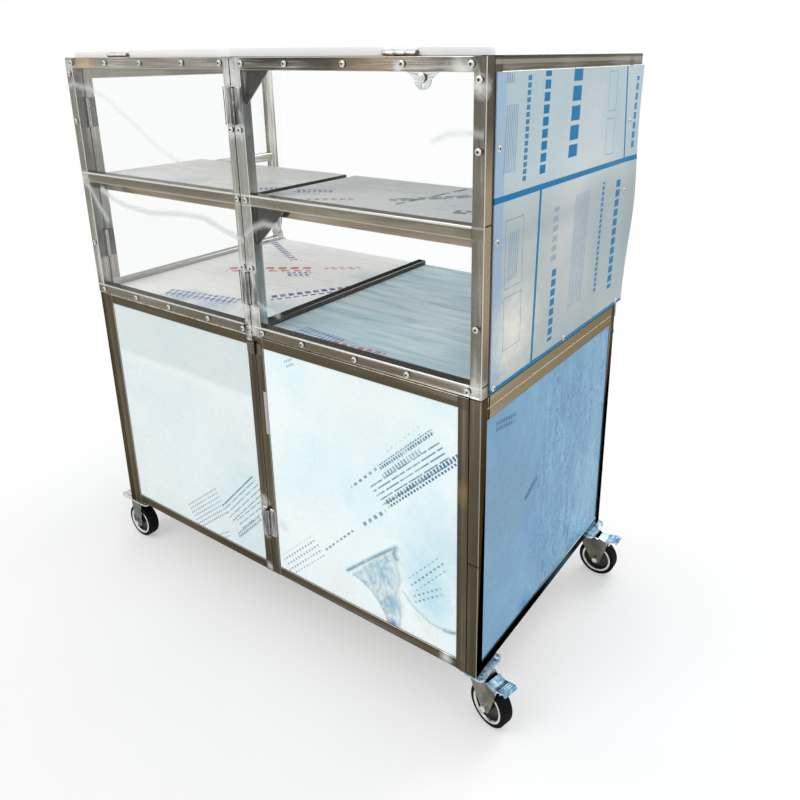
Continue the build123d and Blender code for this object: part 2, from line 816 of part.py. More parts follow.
with BuildPart() as brake_pedal:
    with BuildSketch(Plane.XZ.offset(-pedal_neck_half)):
        with Locations((pedal_pin_x, pedal_pin_z)):
            Circle(pedal_barrel_r)
        Polygon(*web, align=None)
    extrude(amount=2 * pedal_neck_half)
    with BuildSketch(Plane.XZ.offset(-pedal_half)):
        Polygon(*tread, align=None)
    extrude(amount=2 * pedal_half)
    with BuildSketch(Plane.XZ.offset(-shoe_half)):
        Polygon(*shoe, align=None)
    extrude(amount=2 * shoe_half)
    with Locations((pedal_pin_x, 0, pedal_pin_z)):
        Cylinder(pedal_pin_r + running, 4 * pedal_half, rotation=turn_y, mode=Mode.SUBTRACT)

# Wheels and axle bolts round a local Y axis
with BuildPart() as tyre:
    with BuildSketch(Plane.XY) as tyre_section:
        with Locations(((tyre_inner_r + running + wheel_r) / 2, 0)):
            Rectangle(wheel_r - tyre_inner_r - running, wheel_width)
        fillet(tyre_section.vertices().group_by(Axis.X)[-1], tyre_round)
    revolve(axis=Axis.Y)

bore_r = axle_r + running
with BuildPart() as core:
    with BuildSketch(Plane.XY):
        with Locations(((bore_r + hub_r) / 2, 0)):
            Rectangle(hub_r - bore_r, 2 * (fork_half - seat_gap))
        with Locations(((bore_r + tyre_inner_r) / 2, 0)):
            Rectangle(tyre_inner_r - bore_r, wheel_width / 3)
        with Locations(((rim_inner_r + tyre_inner_r) / 2, 0)):
            Rectangle(tyre_inner_r - rim_inner_r, wheel_width - 2)
    revolve(axis=Axis.Y)

with BuildPart() as axle_bolt:
    Cylinder(axle_r, 2 * fork_outer, rotation=turn_y)
    with BuildSketch(Plane.XZ.offset(fork_outer)):
        RegularPolygon(axle_hex_r, 6)
    extrude(amount=axle_nut)
    with BuildSketch(Plane.XZ.offset(-fork_outer)):
        RegularPolygon(axle_hex_r, 6)
    extrude(amount=-axle_head)

# Rigid casters
save("rigid_caster_forks", [rigid_fork.part.moved(Location((rigid_x, y, 0))) for y in rigid_y.values()])
save("rigid_axle_bolts", [axle_bolt.part.moved(Location((rigid_x, y, axle_z))) for y in rigid_y.values()])
for end, y in rigid_y.items():
    axle_place = Location((rigid_x, y, axle_z))
    save("rigid_tyre_" + end, [tyre.part.moved(axle_place)])
    save("rigid_wheel_core_" + end, [core.part.moved(axle_place)])

# Swivel casters
king_places = [Location((swivel_x, y, 0)) for y in swivel_y.values()]
swivel_plates = [swivel_plate.part.moved(place) for place in king_places]
king_bolts = [king_bolt.part.moved(place) for place in king_places]
save("swivel_caster_plates", swivel_plates + king_bolts)
for end, y in swivel_y.items():
    fork_place = Location((swivel_x, y, 0), (0, 0, swivel_turn[end]))
    axle_place = fork_place * Location((trail, 0, axle_z))
    save("swivel_tyre_" + end, [tyre.part.moved(axle_place)])
    save("swivel_wheel_core_" + end, [core.part.moved(axle_place)])
    save("swivel_axle_bolt_" + end, [axle_bolt.part.moved(axle_place)])
    save("swivel_fork_" + end, [swivel_fork.part.moved(fork_place)])
    save("brake_pedal_" + end, [brake_pedal.part.moved(fork_place)])
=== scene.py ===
import math

import bpy
from mathutils import Matrix, Vector, noise


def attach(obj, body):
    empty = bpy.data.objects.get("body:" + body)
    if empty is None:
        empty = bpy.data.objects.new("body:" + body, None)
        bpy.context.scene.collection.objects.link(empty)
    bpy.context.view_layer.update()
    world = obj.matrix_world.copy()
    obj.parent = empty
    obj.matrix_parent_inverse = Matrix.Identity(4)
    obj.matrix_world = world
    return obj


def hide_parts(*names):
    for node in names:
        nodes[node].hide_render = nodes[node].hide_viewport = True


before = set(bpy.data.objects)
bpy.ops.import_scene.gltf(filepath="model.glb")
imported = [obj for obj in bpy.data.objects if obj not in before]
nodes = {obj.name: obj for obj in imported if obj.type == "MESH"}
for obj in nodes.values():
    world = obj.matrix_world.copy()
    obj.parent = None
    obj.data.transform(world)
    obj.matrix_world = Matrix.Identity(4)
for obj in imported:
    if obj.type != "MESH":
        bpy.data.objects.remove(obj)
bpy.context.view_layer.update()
print("frame loaded,", len(nodes), "nodes")

# datums of the frame, in metres
cart = {
    "left": -0.6185, "right": 0.5815, "middle": -0.0185,
    "front": -0.36285, "back": 0.30715,
    "seam": 0.775, "top": 1.38, "clear": 0.0025,
    "caseHinges": (0.889, 1.283), "cabinetHinge": 0.281, "leafMiddles": (-0.031, -0.006),
    "kings": {"front": (0.5665, -0.32085, -14.0), "rear": (0.5665, 0.26515, 0.0)},  # x, y, turn in degrees
}


# small helpers for working by hand
def clearSelection():
    active = bpy.context.view_layer.objects.active
    if active and active.mode != "OBJECT":
        bpy.ops.object.mode_set(mode="OBJECT")
    bpy.ops.object.select_all(action="DESELECT")


def takeUp(*pieces):
    clearSelection()
    for piece in pieces:
        piece.select_set(True)
    bpy.context.view_layer.objects.active = pieces[0]


def settle(piece, name):
    takeUp(piece)
    piece.name = name
    bpy.ops.object.transform_apply(location=True, rotation=True, scale=True)
    return piece


def applyAll(piece):
    takeUp(piece)
    for modifier in list(piece.modifiers):
        bpy.ops.object.modifier_apply(modifier=modifier.name)


def pick(piece, kind, test):
    takeUp(piece)
    bpy.ops.object.mode_set(mode="EDIT")
    bpy.ops.mesh.select_mode(type=kind)
    bpy.ops.mesh.select_all(action="DESELECT")
    bpy.ops.object.mode_set(mode="OBJECT")
    mesh = piece.data
    if kind == "FACE":
        for face in mesh.polygons:
            face.select = bool(test(face))
    else:
        for edge in mesh.edges:
            edge.select = bool(test(*[mesh.vertices[number].co for number in edge.vertices]))
    bpy.ops.object.mode_set(mode="EDIT")


def leaveEdit():
    bpy.ops.object.mode_set(mode="OBJECT")


def bevelEdges(piece, test, offset, segments):
    pick(piece, "EDGE", test)
    bpy.ops.mesh.bevel(offset=offset, segments=segments, affect="EDGES")
    leaveEdit()


def smoothOver(piece, degrees):
    takeUp(piece)
    bpy.ops.object.shade_smooth_by_angle(angle=math.radians(degrees))


def added(operator, name, scale=(1, 1, 1), middle=(0, 0, 0), **settings):
    clearSelection()
    operator(location=middle, **settings)
    bpy.context.object.scale = scale
    return settle(bpy.context.object, name)


def addBar(name, facets, radius, length, middle=(0, 0, 0), turn=(0, 0, 0)):
    return added(bpy.ops.mesh.primitive_cylinder_add, name, middle=middle, rotation=turn, vertices=facets,
                 radius=radius, depth=length)


def addBall(name, segments, rings, radius, scale):
    return added(bpy.ops.mesh.primitive_uv_sphere_add, name, scale, segments=segments, ring_count=rings,
                 radius=radius)


def addSolidify(piece, thick, offset):
    wall = piece.modifiers.new("wall", "SOLIDIFY")
    wall.thickness = thick
    wall.offset = offset
    applyAll(piece)


def copiesOf(master, name, places):
    made = []
    for place in places:
        twin = master.copy()
        twin.data = master.data.copy()
        bpy.context.collection.objects.link(twin)
        twin.data.transform(place)
        made.append(twin)
    return fuse(made, name)


def fuse(pieces, name):
    takeUp(*pieces)
    if len(pieces) > 1:
        bpy.ops.object.join()
    joined = bpy.context.view_layer.objects.active
    joined.name = name
    return joined


def discard(piece):
    bpy.data.objects.remove(piece, do_unlink=True)


def wear(piece, material):
    piece.data.materials.clear()
    piece.data.materials.append(material)


def mount(piece, body, material):
    wear(piece, material)
    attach(piece, body)


def facing(point, out):
    return Matrix.Translation(point) @ Vector(out).to_track_quat("Z", "Y").to_matrix().to_4x4()


# node helpers, all for the tree that is on the bench
bench = {}


def openTree(tree, outKind="OutputMaterial"):
    tree.nodes.clear()
    bench["tree"] = tree
    bench["out"] = put(outKind, {})


def link(source, target):
    bench["tree"].links.new(source, target)


def wire(node, wires):
    for key, value in wires.items():
        if isinstance(value, bpy.types.NodeSocket):
            link(value, node.inputs[key])
        else:
            node.inputs[key].default_value = value


def put(kind, wires, **settings):
    made = bench["tree"].nodes.new("ShaderNode" + kind)
    for key, value in settings.items():
        setattr(made, key, value)
    wire(made, wires)
    return made


def startMaterial(name):
    material = bpy.data.materials.new(name)
    material.use_nodes = True
    openTree(material.node_tree)
    shader = put("BsdfPrincipled", {})
    show(shader.outputs["BSDF"])
    return material, shader


def show(surface):
    link(surface, bench["out"].inputs["Surface"])


def mixShown(share, first, second):
    show(put("MixShader", {"Fac": share, 1: first, 2: second}).outputs["Shader"])


def spot():
    return put("TexCoord", {}).outputs["Object"]


def parted(vector):
    parts = put("SeparateXYZ", {"Vector": vector}).outputs
    return {"x": parts["X"], "y": parts["Y"], "z": parts["Z"]}


def axes():
    return parted(spot())


def turned():
    return parted(put("NewGeometry", {}).outputs["Normal"])


def mottle(scale, detail=3.0, rough=0.55, warp=0.0, turn=(0, 0, 0)):
    scale = scale if isinstance(scale, tuple) else (scale,) * 3
    place = put("Mapping", {"Vector": spot(), "Scale": scale, "Rotation": turn}).outputs["Vector"]
    wires = {"Vector": place, "Scale": 1.0, "Detail": detail, "Roughness": rough, "Distortion": warp}
    return put("TexNoise", wires).outputs["Fac"]


def calc(operation, a, b=0.0, c=0.0):
    return put("Math", {0: a, 1: b, 2: c}, operation=operation).outputs[0]


def plus(a, b):
    return calc("ADD", a, b)


def minus(a, b):
    return calc("SUBTRACT", a, b)


def ratio(a, b):
    return calc("DIVIDE", a, b)


def scaleAdd(a, b, c):
    return calc("MULTIPLY_ADD", a, b, c)


def below(a, b):
    return calc("LESS_THAN", a, b)


def beyond(a, b):
    return calc("GREATER_THAN", a, b)


def fraction(a):
    return calc("FRACT", a)


def spread(value, low, high, toLow=0.0, toHigh=1.0):
    wires = {"Value": value, "From Min": low, "From Max": high, "To Min": toLow, "To Max": toHigh}
    return put("MapRange", wires).outputs["Result"]


def near(value, middle, half):
    return calc("COMPARE", value, middle, half)


def between(value, limits):
    return near(value, (limits[0] + limits[1]) / 2, (limits[1] - limits[0]) / 2)


def merged(operation, masks):
    result = masks[0]
    for mask in masks[1:]:
        result = calc(operation, result, mask)
    return result


def both(*masks):
    return merged("MULTIPLY", masks)


def either(*masks):
    return merged("MAXIMUM", masks)


def inZone(place, limits, fades=()):
    inside = both(*[between(place[axis], limits[axis]) for axis in limits])
    for axis, nothing, full in fades:
        inside = both(inside, spread(place[axis], nothing, full))
    return inside


def blendOf(share, a, b):
    return put("Mix", {"Factor": share, "A": a, "B": b}).outputs["Result"]


def tint(share, first, second):
    shades = [value if isinstance(value, bpy.types.NodeSocket) else (*value, 1.0) for value in (first, second)]
    return put("Mix", {0: share, 6: shades[0], 7: shades[1]}, data_type="RGBA").outputs[2]


def ladder(value, steps):
    made = put("ValToRGB", {"Fac": value})
    ramp = made.color_ramp
    while len(ramp.elements) < len(steps):
        ramp.elements.new(0.5)
    for element, (place, colour) in zip(ramp.elements, steps):
        element.position = place
        element.color = (*colour, 1.0)
    return made.outputs["Color"]


def attribute(name):
    return put("Attribute", {}, attribute_name=name).outputs["Fac"]


def dress(shader, wires, height, strength, distance):
    bump = put("Bump", {"Height": height, "Strength": strength, "Distance": distance})
    wire(shader, dict(wires, Normal=bump.outputs["Normal"]))


# patches of real stain, and of painted light, shade and reflection
def paintStainsLightAndShade(base, ragged, stainsLightAndShade, grow=1.0):
    for centre, reach, tone, share in stainsLightAndShade:
        reach *= grow
        far = put("VectorMath", {0: spot(), 1: centre}, operation="DISTANCE").outputs["Value"]
        edge = scaleAdd(ragged, reach * 0.9, far)
        base = tint(spread(edge, reach * 1.35, reach * 0.55, 0.0, share), base, tone)
    return base


# tints zones of a material; most zones carry painted reflections and painted shade
def regioned(colour, place, rows, tone, limits, keep):
    for zone, regionTone, share, *fades in rows:
        mottledShare = spread(tone, *limits, share, share * keep)
        colour = tint(both(inZone(place, zone, fades), mottledShare), colour, regionTone)
    return colour


# polished square tube: soft bands run along each tube as painted reflections, the corners carry a painted highlight,
# welds are ground bright
# the ladders are painted reflection tones; lower, upper, dark, tan and grey are one polished steel
tubeReflectionTones = {  # steps of each ladder, dark to bright
    "lower": ((0.40, (0.070, 0.058, 0.039)), (0.5, (0.120, 0.101, 0.069)), (0.58, (0.168, 0.144, 0.102)),
              (0.65, (0.32, 0.29, 0.24))),
    "upper": ((0.40, (0.055, 0.048, 0.036)), (0.47, (0.16, 0.142, 0.11)), (0.535, (0.31, 0.29, 0.245)),
              (0.60, (0.70, 0.69, 0.66))),
    "dark": ((0.36, (0.012, 0.012, 0.012)), (0.5, (0.035, 0.034, 0.032)), (0.66, (0.13, 0.125, 0.115))),
    "tan": ((0.38, (0.15, 0.115, 0.080)), (0.5, (0.29, 0.235, 0.17)), (0.62, (0.48, 0.41, 0.32))),
    "grey": ((0.38, (0.12, 0.13, 0.13)), (0.5, (0.27, 0.29, 0.29)), (0.62, (0.56, 0.58, 0.58))),
}
weldGround, glintTone, seamHighlightTone = (0.80, 0.80, 0.78), (0.88, 0.88, 0.86), (0.84, 0.81, 0.74)
shadeTone, shadeShare, plainSheen = (0.010, 0.008, 0.007), 0.9, (0.62, 0.60, 0.57)
railGrain, postGrain = {"band": (1.1, 1.1, 62), "line": (9, 9, 900)}, {"band": (62, 62, 1.1), "line": (900, 900, 9)}
# posts, and the tube gaps painted with shade, are given as axis, low, high
lowPosts = [("x", -0.5936, -0.5684), ("x", -0.0441, -0.0189), ("x", -0.0181, 0.0071), ("x", 0.5304, 0.5556)]
highPosts = [("x", -0.6186, -0.5934), ("x", -0.0441, -0.0189), ("x", -0.0181, 0.0071), ("x", 0.5564, 0.5816)]
frontPlane = -0.363
hingeEnds = [(x, z + reach) for x in cart["leafMiddles"] for z in cart["caseHinges"] for reach in (-0.05, 0.05)]
lowEdgeHighlight, highEdgeHighlight, brightEdgeHighlight = (0.40, 0.37, 0.315), (0.74, 0.73, 0.70), (0.86, 0.85, 0.81)
bottomRail = {"x": (0.5790, 0.60), "y": (-0.3377, 0.282), "z": (0.125, 0.1555)}
frontSkin, frontTube, innerSide = (-0.3632, -0.3612), (-0.364, -0.338), (-0.3600, -0.3370)
gussetRun, gussetSheet = (0.0076, 0.10), (-0.3525, -0.3483)
rightSkin, leftTube = (0.5812, 0.59), (-0.62, -0.59)


def weld(x, z, reach, share):
    return (x, frontPlane, z), reach, weldGround, share


tubeLooks = {
    "lowerFrontSteel": {
        "tones": "lower", "posts": lowPosts, "edge": lowEdgeHighlight,
        # the film piece on the door stile is its own colour; the other zones are painted reflection tones
        "regions": [  # limits, tone, share, and the fades that some have
            ({"x": (-0.002, 0.0072), "z": (0.53, 0.64)}, (0.58, 0.60, 0.60), 0.8),
            ({"z": (0.1, 0.156)}, (0.062, 0.050, 0.034), 0.45),
            ({"z": (0.7485, 0.7735)}, (0.092, 0.077, 0.050), 0.75),
            ({"x": (0.530, 0.5560)}, (0.080, 0.066, 0.042), 0.75),
        ],
        "joints": [("x", -0.0200, -0.0170), ("x", 0.5543, 0.5570), ("x", -0.5945, -0.5925)],
        "seam": (0.7734, 0.7752),
        "spots": [  # middle, reach, tone, share
            # a painted orange reflection on the door's right stile; the other spots are ground welds
            ((0.545, frontPlane, 0.565), 0.03, (0.36, 0.22, 0.10), 0.5),
            weld(0.505, 0.145, 0.016, 0.9), weld(-0.030, 0.142, 0.014, 0.8),
            weld(-0.030, 0.245, 0.018, 0.6), weld(-0.030, 0.335, 0.02, 0.6),
        ],
    },
    "crossSteel": {"tones": "lower", "posts": [("x", -0.032, -0.005)], "edge": (0.36, 0.33, 0.28)},
    "lowerEndSteel": {
        "tones": "lower", "edge": lowEdgeHighlight, "sheen": (0.30, 0.29, 0.27),
        "posts": [("y", -0.3629, -0.3377), ("y", 0.2820, 0.3073)],
        # painted reflections: tan on the right end's top rails, darker on its front post, blue on its bottom rail
        "regions": [
            ({"x": (0.57, 0.60), "y": (-0.337, 0.282), "z": (0.725, 0.776)}, (0.50, 0.42, 0.28), 0.75),
            ({"x": (0.55, 0.60), "y": (-0.3632, -0.3377)}, (0.085, 0.070, 0.045), 0.6),
            (bottomRail, (0.13, 0.27, 0.40), 0.9),
        ],
        # painted shade on the right end's bottom rail and rear post; the last is a thin dark line across the front
        # post
        "darks": [  # limits, share, fades
            (bottomRail, 0.95, ("y", 0.14, -0.10)),
            ({"x": (0.5790, 0.60), "y": (0.2818, 0.308)}, 0.92, ("z", 0.70, 0.50)),
            ({"x": (0.5560, 0.5820), "y": (-0.364, -0.3615), "z": (0.4080, 0.4115)}, 0.75),
        ],
        "joints": [("x", 0.5560, 0.5575), ("x", -0.5943, -0.5927), ("z", 0.7735, 0.776)],
        "shade": {"from": (-0.3378, 0.72), "slope": 0.048, "tone": (0.004, 0.006, 0.014), "share": 0.97},
    },
    "upperFrontSteel": {
        "tones": "upper", "posts": highPosts, "edge": highEdgeHighlight, "glint": 0.7,
        "joints": [("x", -0.0197, -0.0173)], "seam": (0.7748, 0.7768),
        # painted shade: a line under the lid, and the top faces of the middle and bottom rails
        "darks": [({"y": (-0.3415, -0.3370), "z": (1.3780, 1.381)}, 0.9),
                  ({"y": innerSide, "z": (1.1000, 1.103)}, 0.95), ({"y": innerSide, "z": (0.7990, 0.802)}, 0.95)],
        # painted reflection tones on rails and posts, painted highlights along rail edges, painted shade on the
        # gussets, and dark and golden painted reflections on the right post's side
        "regions": [
            ({"z": (1.0755, 1.1015)}, (0.23, 0.188, 0.126), 0.65),
            ({"y": frontSkin, "z": (1.0962, 1.1002)}, brightEdgeHighlight, 0.85),
            ({"y": frontSkin, "z": (1.0755, 1.0790)}, (0.60, 0.57, 0.50), 0.6),
            ({"x": (0.5563, 0.5817), "y": frontTube}, (0.150, 0.130, 0.094), 0.7),
            ({"x": (-0.0443, 0.0073), "z": (0.80, 1.356)}, (0.54, 0.53, 0.49), 0.55),
            ({"x": (-0.6190, -0.5932), "y": frontTube, "z": (0.82, 1.35)}, (0.40, 0.37, 0.31), 0.45),
            ({"z": (0.7745, 0.8012), "y": (-0.3632, -0.338)}, (0.150, 0.120, 0.080), 0.85),
            ({"y": frontSkin, "z": (0.7966, 0.8003)}, brightEdgeHighlight, 0.85),
            ({"z": (1.354, 1.381), "x": (-0.57, -0.05)}, (0.46, 0.43, 0.36), 0.4),
            ({"x": gussetRun, "y": gussetSheet, "z": (1.25, 1.3555)}, (0.050, 0.046, 0.039), 1.2),
            ({"x": gussetRun, "y": gussetSheet, "z": (0.97, 1.0755)}, (0.060, 0.054, 0.044), 1.2),
            ({"x": rightSkin}, (0.105, 0.090, 0.062), 0.85, ("z", 1.16, 1.27)),
            ({"x": rightSkin}, (0.44, 0.345, 0.225), 0.75, ("z", 1.27, 1.16), ("z", 0.82, 0.93)),
        ],
        "spots": [
            # painted warm reflections on the top rail; the other spots are ground welds
            ((-0.54, frontPlane, 1.362), 0.055, (0.62, 0.45, 0.25), 0.75),
            ((0.36, frontPlane, 1.366), 0.11, (0.40, 0.29, 0.17), 0.6),
            weld(0.535, 1.352, 0.03, 0.9), weld(0.569, 1.332, 0.02, 0.8), weld(0.405, 1.362, 0.012, 0.8),
            weld(-0.606, 1.362, 0.024, 0.7), weld(-0.606, 1.085, 0.02, 0.6), weld(0.568, 0.792, 0.024, 0.75),
            weld(-0.018, 1.362, 0.034, 0.75), weld(-0.018, 0.79, 0.026, 0.7),
        ] + [weld(x, z, 0.02, 0.7) for x, z in hingeEnds],
    },
    "upperEndSteel": {
        "tones": "upper", "edge": highEdgeHighlight, "glint": 0.6,
        "posts": [("y", -0.3369, -0.3117), ("y", 0.2820, 0.3073)],
        "joints": [("y", -0.3380, -0.3355), ("z", 0.774, 0.7765), ("z", 1.3775, 1.381)],
        # painted reflections: a dark top rail with a bright streak on the right end, lighter tubes on the left end,
        # fading towards the back on its top
        "regions": [
            ({"x": rightSkin, "z": (1.355, 1.3795)}, (0.10, 0.088, 0.066), 0.85),
            ({"x": rightSkin, "z": (1.3660, 1.3735)}, (0.46, 0.43, 0.36), 0.6),
            ({"x": leftTube, "z": (0.775, 0.81)}, (0.50, 0.52, 0.52), 0.85),
            ({"x": leftTube, "y": (-0.3372, -0.3115)}, (0.58, 0.56, 0.51), 0.5),
            ({"x": leftTube, "z": (1.3295, 1.3555)}, (0.46, 0.42, 0.35), 0.8, ("y", 0.25, -0.30)),
        ],
        "spots": [((0.582, 0.30, 0.785), 0.03, weldGround, 0.6)],
    },
    "tieSteel": {"tones": "grey", "edge": (0.70, 0.71, 0.70)},
    "shelfSteel": {"tones": "tan", "edge": (0.66, 0.62, 0.55),
                   # painted shade on the shelf tube's top between the boards
                   "darks": [({"x": (-0.0320, -0.0050), "y": (-0.30, -0.05), "z": (1.0785, 1.081)}, 0.9)]},
    "deckSteel": {"tones": "dark", "edge": (0.16, 0.155, 0.145), "sheen": (0.06, 0.06, 0.06)},
}


def tubeSteel(name, look):
    material, shader = startMaterial(name)
    place = axes()
    posts = [between(place[axis], (low, high)) for axis, low, high in look.get("posts", ())]
    # painted reflections: soft bands and fine lines run along each tube, with broad patches
    band = mottle(railGrain["band"], 1.5, 0.4)
    line = mottle(railGrain["line"], 2.0, 0.5)
    if posts:
        post = either(*posts)
        band = blendOf(post, band, mottle(postGrain["band"], 1.5, 0.4))
        line = blendOf(post, line, mottle(postGrain["line"], 2.0, 0.5))
    patch = mottle(4.3, 1.0, 0.4, 0.25)
    tone = scaleAdd(line, 0.18, scaleAdd(band, 0.48, both(patch, 0.34)))
    colour = ladder(tone, tubeReflectionTones[look["tones"]])
    # painted glint streaks along the tubes
    if "glint" in look:
        streak = scaleAdd(line, 0.6, both(patch, 0.4))
        colour = tint(spread(streak, 0.56, 0.64, 0.0, look["glint"]), colour, glintTone)
    fleck = mottle(55, 4.0, 0.65, 0.3)
    colour = regioned(colour, place, look.get("regions", ()), tone, (0.34, 0.66), 0.75)
    if "shade" in look:
        shade = look["shade"]
        y0, z0 = shade["from"]
        reach = plus(minus(place["y"], y0), both(minus(z0, place["z"]), shade["slope"]))
        outside = beyond(place["x"], cart["right"] - 0.0003)
        shaded = both(spread(reach, 0.0, 0.002), outside, below(place["y"], -0.33))
        colour = tint(both(shaded, shade["share"]), colour, shade["tone"])
    # painted highlight on the rounded corners
    flat = either(*[calc("ABSOLUTE", side) for side in turned().values()])
    colour = tint(spread(flat, 0.90, 0.985, 0.85, 0.0), colour, look["edge"])
    colour = paintStainsLightAndShade(colour, fleck, look.get("spots", ()), 1.35)
    # painted highlight along the seam between case and cabinet
    if "seam" in look:
        bright = both(between(place["z"], look["seam"]), spread(fleck, 0.40, 0.52, 0.25, 0.95))
        colour = tint(bright, colour, seamHighlightTone)
    # painted shade in the gaps between tubes and on listed rails and posts
    darks = [({axis: (low, high)}, shadeShare) for axis, low, high in look.get("joints", ())]
    for limits, share, *fades in darks + look.get("darks", []):
        colour = tint(both(inZone(place, limits, fades), share), colour, shadeTone)
    smear = scaleAdd(line, 0.3, both(mottle(24, 3.0, 0.6), 0.7))
    dress(shader, {"Base Color": colour, "Roughness": spread(smear, 0.32, 0.68, 0.09, 0.24), "Metallic": 1.0,
                   "Specular Tint": (*look.get("sheen", plainSheen), 1.0)}, line, 0.05, 0.0003)
    return material


tubes = {name: tubeSteel(name, look) for name, look in tubeLooks.items()}


# other metals
def sheetMetal(name, look):
    material, shader = startMaterial(name)
    cloud = mottle(look["cloud"], 2.0, 0.5, 0.3)
    fine = mottle(look["fine"], 3.0, 0.55)
    tone = scaleAdd(fine, look["grain"], both(cloud, 1.0 - look["grain"]))
    colour = ladder(tone, look["tones"])
    place = axes()
    # painted highlight on the faces that turn away from the given axis, the edges
    if "edge" in look:
        axis, edgeTone = look["edge"]
        flat = calc("ABSOLUTE", turned()[axis])
        colour = tint(spread(flat, 0.35, 0.6, 0.8, 0.0), colour, edgeTone)
    colour = regioned(colour, place, look.get("regions", ()), tone, (0.3, 0.7), 0.7)
    # painted shade in the screws' cross recess
    if "recess" in look:
        colour = tint(both(attribute("recess"), 0.9), colour, look["recess"])
    dress(shader, {"Base Color": colour, "Roughness": spread(fine, 0.3, 0.7, *look["roughness"]),
                   "Metallic": look.get("metal", 1.0)}, fine, look["bump"], 0.0004)
    return material


metalLooks = {
    "bareSheet": {
        "cloud": 4, "fine": (260, 260, 6), "grain": 0.4, "roughness": (0.24, 0.4), "bump": 0.05,
        "tones": ((0.3, (0.34, 0.345, 0.34)), (0.5, (0.47, 0.475, 0.47)), (0.7, (0.62, 0.62, 0.61))),
    },
    "hingeSteel": {
        "cloud": (60, 60, 12), "fine": (420, 420, 14), "grain": 0.4, "roughness": (0.14, 0.3), "bump": 0.05,
        "tones": ((0.38, (0.13, 0.128, 0.122)), (0.5, (0.34, 0.34, 0.33)), (0.60, (0.72, 0.72, 0.71))),
        "edge": ("y", (0.86, 0.86, 0.85)),
        # painted highlight on the leaf at the top, a lighter tone on the left corner hinge, painted shade in the
        # knuckles, and the short hinge in the tubes' painted reflection brown
        "regions": [
            ({"z": (1.37, 1.40)}, (0.78, 0.79, 0.79), 0.95),
            ({"x": (-0.625, -0.57), "z": (0.82, 1.36)}, (0.40, 0.39, 0.36), 0.9),
            ({"x": (-0.0227, -0.0143), "z": (0.13, 1.36)}, (0.035, 0.034, 0.032), 0.85),
            ({"x": (-0.5975, -0.5885), "z": (0.13, 1.36)}, (0.05, 0.045, 0.04), 0.8),
            ({"x": (-0.05, 0.01), "z": (0.7275, 0.7625)}, (0.15, 0.125, 0.088), 1.4),
        ],
    },
    "lidHingeSteel": {
        "cloud": (12, 60, 60), "fine": (14, 420, 420), "grain": 0.35, "roughness": (0.14, 0.3), "bump": 0.05,
        "tones": ((0.36, (0.50, 0.51, 0.51)), (0.5, (0.74, 0.75, 0.75)), (0.62, (0.90, 0.91, 0.91))),
    },
    "claspSteel": {
        "cloud": 80, "fine": 400, "grain": 0.4, "roughness": (0.16, 0.34), "bump": 0.05,
        "tones": ((0.38, (0.14, 0.14, 0.135)), (0.5, (0.42, 0.42, 0.41)), (0.60, (0.82, 0.82, 0.81))),
    },
    "pinSteel": {
        "cloud": 30, "fine": (300, 300, 60), "grain": 0.3, "roughness": (0.2, 0.36), "bump": 0.04,
        "tones": ((0.34, (0.030, 0.030, 0.030)), (0.5, (0.085, 0.083, 0.08)), (0.66, (0.34, 0.34, 0.33))),
    },
    "weldSteel": {
        "cloud": 160, "fine": 700, "grain": 0.4, "roughness": (0.22, 0.4), "bump": 0.2,
        "tones": ((0.34, (0.45, 0.45, 0.44)), (0.5, (0.74, 0.74, 0.73)), (0.66, (0.88, 0.88, 0.87))),
    },
    "latchSteel": {
        "cloud": 60, "fine": 300, "grain": 0.4, "roughness": (0.28, 0.46), "bump": 0.08,
        "tones": ((0.3, (0.1, 0.105, 0.11)), (0.5, (0.25, 0.26, 0.27)), (0.7, (0.5, 0.51, 0.52))),
    },
    "screwSteel": {
        "cloud": 90, "fine": 500, "grain": 0.3, "roughness": (0.16, 0.3), "bump": 0.03, "recess": (0.02, 0.02, 0.02),
        "tones": ((0.3, (0.52, 0.52, 0.51)), (0.5, (0.72, 0.72, 0.71)), (0.7, (0.88, 0.88, 0.87))),
    },
    "rigidSteel": {
        "cloud": 22, "fine": 400, "grain": 0.2, "roughness": (0.2, 0.36), "bump": 0.03,
        "tones": ((0.36, (0.075, 0.082, 0.072)), (0.5, (0.135, 0.142, 0.128)), (0.64, (0.30, 0.31, 0.29))),
        "edge": ("y", (0.62, 0.63, 0.61)), "regions": [({"z": (0.1255, 0.14)}, (0.66, 0.68, 0.68), 0.95)],
    },
    "forkSteel": {
        "cloud": 22, "fine": 400, "grain": 0.2, "roughness": (0.2, 0.36), "bump": 0.03,
        "tones": ((0.34, (0.115, 0.11, 0.092)), (0.5, (0.185, 0.178, 0.15)), (0.66, (0.30, 0.29, 0.255))),
        "edge": ("y", (0.62, 0.62, 0.58)),
    },
    # the blue of the swivel plates and the brake pedals is a painted sky reflection
    "plateSteel": {
        "cloud": 75, "fine": 420, "grain": 0.3, "roughness": (0.2, 0.38), "bump": 0.05, "metal": 0.7,
        "tones": ((0.38, (0.16, 0.36, 0.54)), (0.48, (0.42, 0.62, 0.76)), (0.58, (0.80, 0.88, 0.92))),
    },
    "pedalSteel": {
        "cloud": 48, "fine": 300, "grain": 0.15, "roughness": (0.1, 0.24), "bump": 0.02, "metal": 0.85,
        "tones": ((0.38, (0.10, 0.24, 0.36)), (0.5, (0.28, 0.48, 0.62)), (0.60, (0.66, 0.80, 0.87))),
        "edge": ("z", (0.66, 0.76, 0.82)),
    },
    "rimSteel": {
        "cloud": 60, "fine": 400, "grain": 0.2, "roughness": (0.18, 0.3), "bump": 0.03,
        "tones": ((0.3, (0.55, 0.55, 0.54)), (0.5, (0.72, 0.72, 0.71)), (0.7, (0.86, 0.86, 0.85))),
    },
}
metals = {name: sheetMetal(name, look) for name, look in metalLooks.items()}


